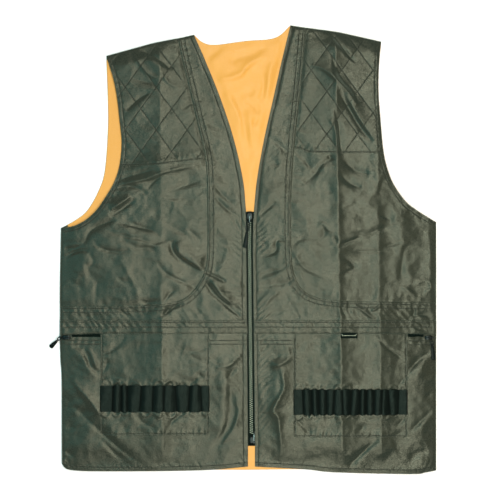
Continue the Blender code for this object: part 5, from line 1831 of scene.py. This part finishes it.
def build_stitching():
    """Every stitch as a small bar with pointed ends, joined in one piece for each front."""
    for side in FRONTS:
        rows = [stitch_row(kind, side, path) for kind, path in stitch_paths(side)]
        middles, directions = (np.vstack(points) for points in zip(*rows))
        points, faces = copies(np.array(STITCH), stitch_faces(), middles, directions)
        keep(new_mesh(f"stitching_{side}", points, faces, ("olive thread",)), "olive_nylon")


# Finishes

# Distance in metres between two waves of the wave texture at a scale of 1
WAVE_PERIOD = 0.314


def socket(tree, kind, inputs=None, output=0, **settings):
    """One node, its inputs set to values or linked to other nodes' outputs; gives its output."""
    made = tree.nodes.new(kind)
    for name, value in settings.items():
        setattr(made, name, value)
    for name, value in (inputs or {}).items():
        if isinstance(value, bpy.types.NodeSocket):
            tree.links.new(value, made.inputs[name])
        else:
            made.inputs[name].default_value = value
    return made.outputs[output]


def times(tree, first, second):
    return socket(tree, "ShaderNodeMath", {0: first, 1: second}, operation="MULTIPLY")


def tinted(tree, color, amount):
    """A colour times a value, or times another colour."""
    return socket(tree, "ShaderNodeVectorMath", {0: color, 1: amount}, operation="MULTIPLY")


def ranged(tree, value, low, high, start=0.0, end=1.0):
    """A value's range from start to end moved to the range from low to high, and held to it."""
    return socket(tree, "ShaderNodeMapRange", {0: value, 1: start, 2: end, 3: low, 4: high})


def noise(tree, place, scale, detail, roughness=0.5, distortion=0.0, **settings):
    """Soft noise, about scale bumps a metre, with so many finer layers of detail."""
    inputs = {
        "Vector": place, "Scale": scale, "Detail": detail, "Roughness": roughness,
        "Distortion": distortion,
    }
    return socket(tree, "ShaderNodeTexNoise", inputs, **settings)


def threads(tree, place, pitch, distortion, direction):
    """Waves a pitch apart, in metres, one after another along the direction."""
    inputs = {"Vector": place, "Scale": WAVE_PERIOD / pitch, "Distortion": distortion}
    return socket(tree, "ShaderNodeTexWave", inputs, bands_direction=direction)


def raised(tree, height, strength, distance, below=None, **settings):
    """A bump, at full height the distance in metres, on the bumps below it."""
    inputs = {"Height": height, "Strength": strength, "Distance": distance}
    if below is not None:
        inputs["Normal"] = below
    return socket(tree, "ShaderNodeBump", inputs, **settings)


def link_shader(tree, shader, color, roughness, normal):
    for name, made in (("Base Color", color), ("Roughness", roughness), ("Normal", normal)):
        tree.links.new(made, shader.inputs[name])


SHADER_SOCKETS = {
    "roughness": "Roughness", "metallic": "Metallic", "specular": "Specular IOR Level",
    "sheen": "Sheen Weight", "sheen_roughness": "Sheen Roughness", "sheen_tint": "Sheen Tint",
    "specular_tint": "Specular Tint",
}


def new_finish(name, **values):
    """A named material with fixed values on its shader's own sockets."""
    made = bpy.data.materials.new(name)
    made.use_nodes = True
    shader = made.node_tree.nodes["Principled BSDF"]
    for key, value in values.items():
        shader.inputs[SHADER_SOCKETS[key]].default_value = value
    return made.node_tree, shader


def scaled(color, amount):
    return tuple(part * amount for part in color)


def sewn(tree, width, families="XYZ"):
    """How close a point is to a row of stitches, 1 on it: the sum of exp(-(distance / width) ** 2)
    over its families, each held to 1."""
    rows = socket(tree, "ShaderNodeAttribute", output="Vector", attribute_name="stitch_rows")
    split = tree.nodes.new("ShaderNodeSeparateXYZ")
    tree.links.new(tinted(tree, rows, rows), split.inputs["Vector"])
    total = 0.0
    for axis in families:
        falling = times(tree, split.outputs[axis], -1.0 / width ** 2)
        bell = socket(tree, "ShaderNodeMath", {0: falling}, operation="EXPONENT")
        total = socket(tree, "ShaderNodeMath", {0: bell, 1: total}, operation="ADD", use_clamp=True)
    return total


def woven(name, color, thread, roughness, wave_depth, wrinkle, creasing, vary, gathering=0.0, **values):
    """Woven cloth: two waves at right angles for the threads, a soft change of colour and of
    gloss over it, a grain in the gloss, dimples along the rows of stitches, which are also painted
    shade that darkens the colour there, and wrinkles from coarse to fine in the bump."""
    tree, shader = new_finish(name, **values)
    place = socket(tree, "ShaderNodeTexCoord", output="Object")
    weave = times(tree, threads(tree, place, thread, 0.4, "X"), threads(tree, place, thread, 0.4, "Y"))
    cloud = noise(tree, place, 14.0, 4.0, 0.6)
    grain = noise(tree, place, 430.0, 1.0)
    uneven = ranged(tree, noise(tree, place, 120.0, 2.0), 0.35, 1.0, 0.35, 0.6)
    dimple_and_painted_shade = times(tree, sewn(tree, 0.75), uneven)
    gathered = times(tree, sewn(tree, 3.4, "X"), noise(tree, place, 300.0, 1.0, 0.4))

    tone = socket(tree, "ShaderNodeMix", {
        "Factor": cloud, "A": (*scaled(color, 1.0 - vary), 1.0), "B": (*scaled(color, 1.0 + vary), 1.0),
    }, output=2, data_type="RGBA")
    # The colour is darkened to 0.8 along the rows of stitches: painted shade in their dimples.
    toned = tinted(tree, tone, ranged(tree, dimple_and_painted_shade, ranged(tree, weave, 0.86, 1.06), 0.8))

    rough = ranged(tree, cloud, roughness - 0.05, roughness + 0.06, 0.3, 0.7)
    rough = socket(tree, "ShaderNodeMath", {0: grain, 1: 0.36, 2: rough}, operation="MULTIPLY_ADD")
    rough = socket(tree, "ShaderNodeMath", {0: rough, 1: 0.18}, operation="SUBTRACT")
    rough = ranged(tree, dimple_and_painted_shade, rough, 0.6)

    creased = noise(tree, place, 34.0, 3.0, 0.55, 0.6, noise_type="RIDGED_MULTIFRACTAL")
    bump = raised(tree, dimple_and_painted_shade, 0.6, 0.0005, invert=True)
    bump = raised(tree, gathered, 0.8, gathering, bump)
    bump = raised(tree, weave, 0.35, wave_depth, bump)
    bump = raised(tree, grain, 0.5, wrinkle * 0.45, bump)
    bump = raised(tree, noise(tree, place, 220.0, 5.0, 0.7), 0.6, wrinkle * 0.85, bump)
    link_shader(tree, shader, toned, rough, raised(tree, creased, 0.7, creasing, bump))


def ribbed(name, color, rib, roughness, depth, direction, specular):
    """Webbing or tape: ribs across it as a wave, with fine noise in colour and gloss, and painted
    shade, the colour darkened to 0.15, in the valleys along the rows of stitches."""
    tree, shader = new_finish(name, specular=specular, specular_tint=(0.7, 1.0, 0.85, 1.0))
    place = socket(tree, "ShaderNodeTexCoord", output="Object")
    ribs = threads(tree, place, rib, 0.6, direction)
    painted_valley_shade = sewn(tree, 1.5)
    fuzz = noise(tree, place, 900.0, 3.0)
    # The colour is darkened to 0.15 along the rows of stitches: painted shade in the valleys between the
    # loops.
    shade = times(tree, ranged(tree, painted_valley_shade, ranged(tree, ribs, 0.55, 1.35), 0.15), fuzz)
    rough = ranged(tree, painted_valley_shade, ranged(tree, fuzz, roughness - 0.08, roughness + 0.08), 0.95)
    link_shader(tree, shader, tinted(tree, scaled(color, 1.9), shade), rough, raised(tree, ribs, 0.7, depth))


def solid(name, color, roughness, metallic, wear, **values):
    """Lacquered metal or moulded plastic: cloudy gloss, fine grain, and lighter worn patches."""
    tree, shader = new_finish(name, metallic=metallic, **values)
    place = socket(tree, "ShaderNodeTexCoord", output="Object")
    grain = noise(tree, place, 700.0, 4.0)
    worn = ranged(tree, noise(tree, place, 260.0, 3.0), 1.0, wear, 0.45, 0.7)
    rough = ranged(tree, grain, roughness - 0.08, roughness + 0.1)
    link_shader(tree, shader, tinted(tree, color, worn), rough, raised(tree, grain, 0.25, 0.0001))


def make_finishes():
    """The cloths with their thread, wave depth, wrinkles and creases in metres, then the webbing
    and tape with their ribs, then metal and plastic."""
    colours = bpy.context.scene.vest_colours
    woven(
        "olive nylon", colours.olive, thread=0.0005, roughness=0.3, wave_depth=0.00008,
        wrinkle=0.0005, creasing=0.0006, vary=0.12, gathering=0.0008,
        specular=0.292, specular_tint=(1.0, 1.0, 0.77, 1.0),
        sheen=0.62, sheen_roughness=0.5, sheen_tint=(0.78, 0.88, 0.68, 1.0),
    )
    woven(
        "orange lining", colours.orange, thread=0.0007, roughness=0.45, wave_depth=0.00012,
        wrinkle=0.0004, creasing=0.0008, vary=0.05,
        specular=0.3, sheen=0.12, sheen_roughness=0.5, sheen_tint=(1.0, 0.75, 0.45, 1.0),
    )
    for name, color in (("olive thread", scaled(colours.olive, 0.8)), ("pale thread", (0.42, 0.46, 0.34))):
        woven(
            name, color, thread=0.0003, roughness=0.6, wave_depth=0.00005, wrinkle=0.0001,
            creasing=0.0, vary=0.1, specular=0.4,
        )
    ribbed("black webbing", scaled(colours.webbing, 0.32), 0.0012, 0.36, 0.0003, "Y", 0.17)
    ribbed("black tape", scaled(colours.webbing, 0.55), 0.0009, 0.7, 0.00015, "X", 0.07)
    solid("zip teeth", colours.teeth, 0.38, 0.0, 1.35, specular=0.55)
    solid("dark metal", colours.metal, 0.32, 0.9, 2.2)
    # A lighter copy of the dark metal: on the front zip's bail it is a painted highlight; the zip box's pin
    # is made in it too.
    solid("bright metal", scaled(colours.metal, 16.0), 0.24, 0.95, 1.6)
    solid("dark plastic", (0.003, 0.006, 0.005), 0.36, 0.0, 1.6, specular=0.06)


# Sizes and colours that a user would change


class VestSizes(bpy.types.PropertyGroup):
    crumple: bpy.props.FloatProperty(
        name="Crumple", description="How strongly the nylon is crumpled between its creases",
        default=1.0, min=0.0, max=2.0,
    )
    quilt_rise: bpy.props.FloatProperty(
        name="Quilting rise", description="Height of the padding between two sewn lines",
        default=0.00045, min=0.0, max=0.004, unit="LENGTH",
    )
    stitch_pitch: bpy.props.FloatProperty(
        name="Stitch pitch", description="Distance from one stitch to the next",
        default=0.003, min=0.002, max=0.006, unit="LENGTH",
    )
    tooth_pitch: bpy.props.FloatProperty(
        name="Tooth pitch", description="Distance from one zip tooth to the next on the same tape",
        default=0.0034, min=0.002, max=0.005, unit="LENGTH",
    )
    cloth_step: bpy.props.FloatProperty(
        name="Cloth step", description="Distance between the grid lines of the cloth",
        default=0.0019, min=0.0015, max=0.01, unit="LENGTH",
    )


class VestColours(bpy.types.PropertyGroup):
    olive: bpy.props.FloatVectorProperty(
        name="Shell", description="Colour of the outer nylon",
        default=(0.0095, 0.014, 0.0098), subtype="COLOR", size=3,
    )
    orange: bpy.props.FloatVectorProperty(
        name="Lining", description="Colour of the lining",
        default=(0.66, 0.315, 0.058), subtype="COLOR", size=3,
    )
    webbing: bpy.props.FloatVectorProperty(
        name="Webbing", description="Colour of the elastic and the tapes",
        default=(0.0035, 0.0085, 0.0065), subtype="COLOR", size=3,
    )
    teeth: bpy.props.FloatVectorProperty(
        name="Zip teeth", description="Colour of the zip's teeth",
        default=(0.4, 0.47, 0.35), subtype="COLOR", size=3,
    )
    metal: bpy.props.FloatVectorProperty(
        name="Metal", description="Colour of the sliders and links",
        default=(0.009, 0.012, 0.0115), subtype="COLOR", size=3,
    )


class VestStage(bpy.types.PropertyGroup):
    camera_height: bpy.props.FloatProperty(
        name="Camera height", description="Height of the camera above the floor",
        default=3.0, min=1.0, unit="LENGTH",
    )
    lens: bpy.props.FloatProperty(
        name="Lens", description="Focal length of the camera", default=135.0, min=20.0, unit="CAMERA",
    )
    key: bpy.props.FloatProperty(
        name="Key light", description="Power of the main soft light", default=42.0, min=0.0, unit="POWER",
    )
    sky: bpy.props.FloatProperty(
        name="Surrounding light", description="Strength of the even light from all sides",
        default=0.28, min=0.0,
    )


def fronts_and_step(context):
    """The side of each front, with the distance between the grid lines of its cloth in millimetres."""
    step = context.scene.vest_sizes.cloth_step / MM
    return [(side, step) for side in FRONTS]


class VEST_OT_finishes(bpy.types.Operator):
    """Make the procedural finishes of the cloth, webbing, metal and plastic"""
    bl_idname = "vest.finishes"
    bl_label = "Finishes"

    def execute(self, context):
        make_finishes()
        return {"FINISHED"}


class VEST_OT_back(bpy.types.Operator):
    """Make the olive back and its orange lining"""
    bl_idname = "vest.back"
    bl_label = "Back"

    def execute(self, context):
        back = build_back_shell()
        lining = build_back_lining()
        return {"FINISHED"}


class VEST_OT_fronts(bpy.types.Operator):
    """Make the side, centre and lower panels of both fronts"""
    bl_idname = "vest.fronts"
    bl_label = "Fronts"

    def execute(self, context):
        for side, step in fronts_and_step(context):
            chest = build_chest(side, step)
            strip = build_strip(side, step)
            lower = build_lower(side, step * 1.25)
        return {"FINISHED"}


class VEST_OT_patches(bpy.types.Operator):
    """Make the two quilted shoulder patches"""
    bl_idname = "vest.patches"
    bl_label = "Shoulder patches"

    def execute(self, context):
        for side, step in fronts_and_step(context):
            build_patch(side, step * 0.85)
        return {"FINISHED"}


class VEST_OT_plackets(bpy.types.Operator):
    """Make the two waist plackets"""
    bl_idname = "vest.plackets"
    bl_label = "Waist plackets"

    def execute(self, context):
        for side, step in fronts_and_step(context):
            placket = build_placket(side, step)
        return {"FINISHED"}


class VEST_OT_pockets(bpy.types.Operator):
    """Make the two patch pockets"""
    bl_idname = "vest.pockets"
    bl_label = "Pockets"

    def execute(self, context):
        for side, step in fronts_and_step(context):
            pocket = build_pocket(side, step)
        return {"FINISHED"}


class VEST_OT_bands(bpy.types.Operator):
    """Make the two elastic cartridge bands"""
    bl_idname = "vest.bands"
    bl_label = "Cartridge bands"

    def execute(self, context):
        for side, step in fronts_and_step(context):
            band = build_band(side, step)
        return {"FINISHED"}


class VEST_OT_label(bpy.types.Operator):
    """Make the bare tab on the left pocket"""
    bl_idname = "vest.label"
    bl_label = "Tab"

    def execute(self, context):
        build_label()
        build_label_stitches()
        return {"FINISHED"}


class VEST_OT_front_zip(bpy.types.Operator):
    """Make the front zip's tapes, teeth, slider and box"""
    bl_idname = "vest.front_zip"
    bl_label = "Front zip"

    def execute(self, context):
        for side in FRONTS:
            tape = build_zip_tape(side)
        build_zip_cord()
        build_teeth()
        pivot = hinge_place("front_pull_swing")
        centre, size, heading = SLIDERS["front"]
        build_slider("zip_slider", (*centre, FRONT_LEVEL), *size, heading, pivot)
        build_zip_box()
        return {"FINISHED"}


class VEST_OT_pocket_zips(bpy.types.Operator):
    """Make the pocket zips and their sliders"""
    bl_idname = "vest.pocket_zips"
    bl_label = "Pocket zips"

    def execute(self, context):
        build_pocket_zips()
        return {"FINISHED"}


class VEST_OT_pulls(bpy.types.Operator):
    """Make the three zip pulls, each on its own body"""
    bl_idname = "vest.pulls"
    bl_label = "Zip pulls"

    def execute(self, context):
        build_pulls()
        return {"FINISHED"}


class VEST_OT_stitching(bpy.types.Operator):
    """Make the rows of stitches on both fronts"""
    bl_idname = "vest.stitching"
    bl_label = "Stitching"

    def execute(self, context):
        build_stitching()
        return {"FINISHED"}


# Soft lights, columns name, place, target and size in metres, share of the main power, colour
LIGHTS = (
    ("key_light", (0.1, -0.05, 1.15), (0.1, -0.05, 0.0), (0.26, 1.8), 0.56, (1.0, 0.97, 0.88)),
    ("cool_panel", (-0.85, 0.0, 1.9), (-0.1, 0.0, 0.0), (0.9, 1.8), 0.24, (0.22, 0.9, 1.0)),
    ("warm_panel", (1.3, -0.1, 1.6), (0.1, 0.0, 0.0), (0.9, 1.6), 0.08, (1.0, 0.7, 0.4)),
)
# Middle of the photo on the vest, in metres
CAMERA_PLACE = (0.0016, -0.00104)


def linked(name, data):
    """A new object for some data, in the scene."""
    obj = bpy.data.objects.new(name, data)
    bpy.context.scene.collection.objects.link(obj)
    return obj


def soft_light(name, place, target, size, power, colour):
    """A soft panel of light at a place, facing a target, that the camera doesn't see."""
    light = bpy.data.lights.new(name, "AREA")
    light.shape = "RECTANGLE"
    light.size, light.size_y = size
    light.energy = power
    light.color = colour
    obj = linked(name, light)
    obj.location = place
    aim = Vector(target) - Vector(place)
    obj.rotation_euler = aim.to_track_quat("-Z", "Y").to_euler()
    obj.visible_camera = False


class VEST_OT_stage(bpy.types.Operator):
    """Make the pale floor, the soft lights and the camera straight above"""
    bl_idname = "vest.stage"
    bl_label = "Stage"

    def execute(self, context):
        stage = context.scene.vest_stage
        bpy.ops.mesh.primitive_plane_add(size=12.0, location=(0.0, 0.0, -0.0002))
        floor = context.object
        floor.name = "floor"
        _, shader = new_finish("pale floor", roughness=0.9, specular=0.1)
        shader.inputs["Base Color"].default_value = (0.93, 0.93, 0.93, 1.0)
        floor.data.materials.append(bpy.data.materials["pale floor"])
        for name, place, target, size, share, colour in LIGHTS:
            soft_light(name, place, target, size, stage.key * share, colour)
        world = bpy.data.worlds.new("studio")
        world.use_nodes = True
        back = world.node_tree.nodes["Background"]
        back.inputs["Color"].default_value = (1.0, 1.0, 1.0, 1.0)
        back.inputs["Strength"].default_value = stage.sky
        context.scene.world = world
        context.scene.view_settings.view_transform = "Standard"
        camera = bpy.data.cameras.new("camera")
        camera.lens = stage.lens
        camera.sensor_width = 36.0
        camera_object = linked("camera", camera)
        camera_object.location = (*CAMERA_PLACE, stage.camera_height)
        context.scene.camera = camera_object
        return {"FINISHED"}


class VEST_PT_panel(bpy.types.Panel):
    bl_idname = "VEST_PT_panel"
    bl_label = "Hunting vest"
    bl_space_type = "VIEW_3D"
    bl_region_type = "UI"
    bl_category = "Vest"

    def draw(self, context):
        layout = self.layout
        for group in (context.scene.vest_sizes, context.scene.vest_colours, context.scene.vest_stage):
            for name in group.__annotations__:
                layout.prop(group, name)
        for operator in OPERATORS:
            layout.operator(operator.bl_idname)


OPERATORS = (
    VEST_OT_finishes, VEST_OT_back, VEST_OT_fronts, VEST_OT_patches, VEST_OT_plackets, VEST_OT_pockets,
    VEST_OT_bands, VEST_OT_label, VEST_OT_front_zip, VEST_OT_pocket_zips, VEST_OT_pulls,
    VEST_OT_stitching, VEST_OT_stage,
)
GROUPS = (VestSizes, VestColours, VestStage)


def register():
    for cls in GROUPS + OPERATORS + (VEST_PT_panel,):
        bpy.utils.register_class(cls)
    bpy.types.Scene.vest_sizes = bpy.props.PointerProperty(type=VestSizes)
    bpy.types.Scene.vest_colours = bpy.props.PointerProperty(type=VestColours)
    bpy.types.Scene.vest_stage = bpy.props.PointerProperty(type=VestStage)


def unregister():
    del bpy.types.Scene.vest_stage
    del bpy.types.Scene.vest_colours
    del bpy.types.Scene.vest_sizes
    for cls in reversed(GROUPS + OPERATORS + (VEST_PT_panel,)):
        bpy.utils.unregister_class(cls)


def main():
    register()
    bpy.ops.vest.finishes()
    bpy.ops.vest.back()
    bpy.ops.vest.fronts()
    bpy.ops.vest.patches()
    bpy.ops.vest.plackets()
    bpy.ops.vest.pockets()
    bpy.ops.vest.bands()
    bpy.ops.vest.label()
    bpy.ops.vest.front_zip()
    bpy.ops.vest.pocket_zips()
    bpy.ops.vest.pulls()
    bpy.ops.vest.stitching()
    bpy.ops.vest.stage()


if __name__ == "__main__":
    main()
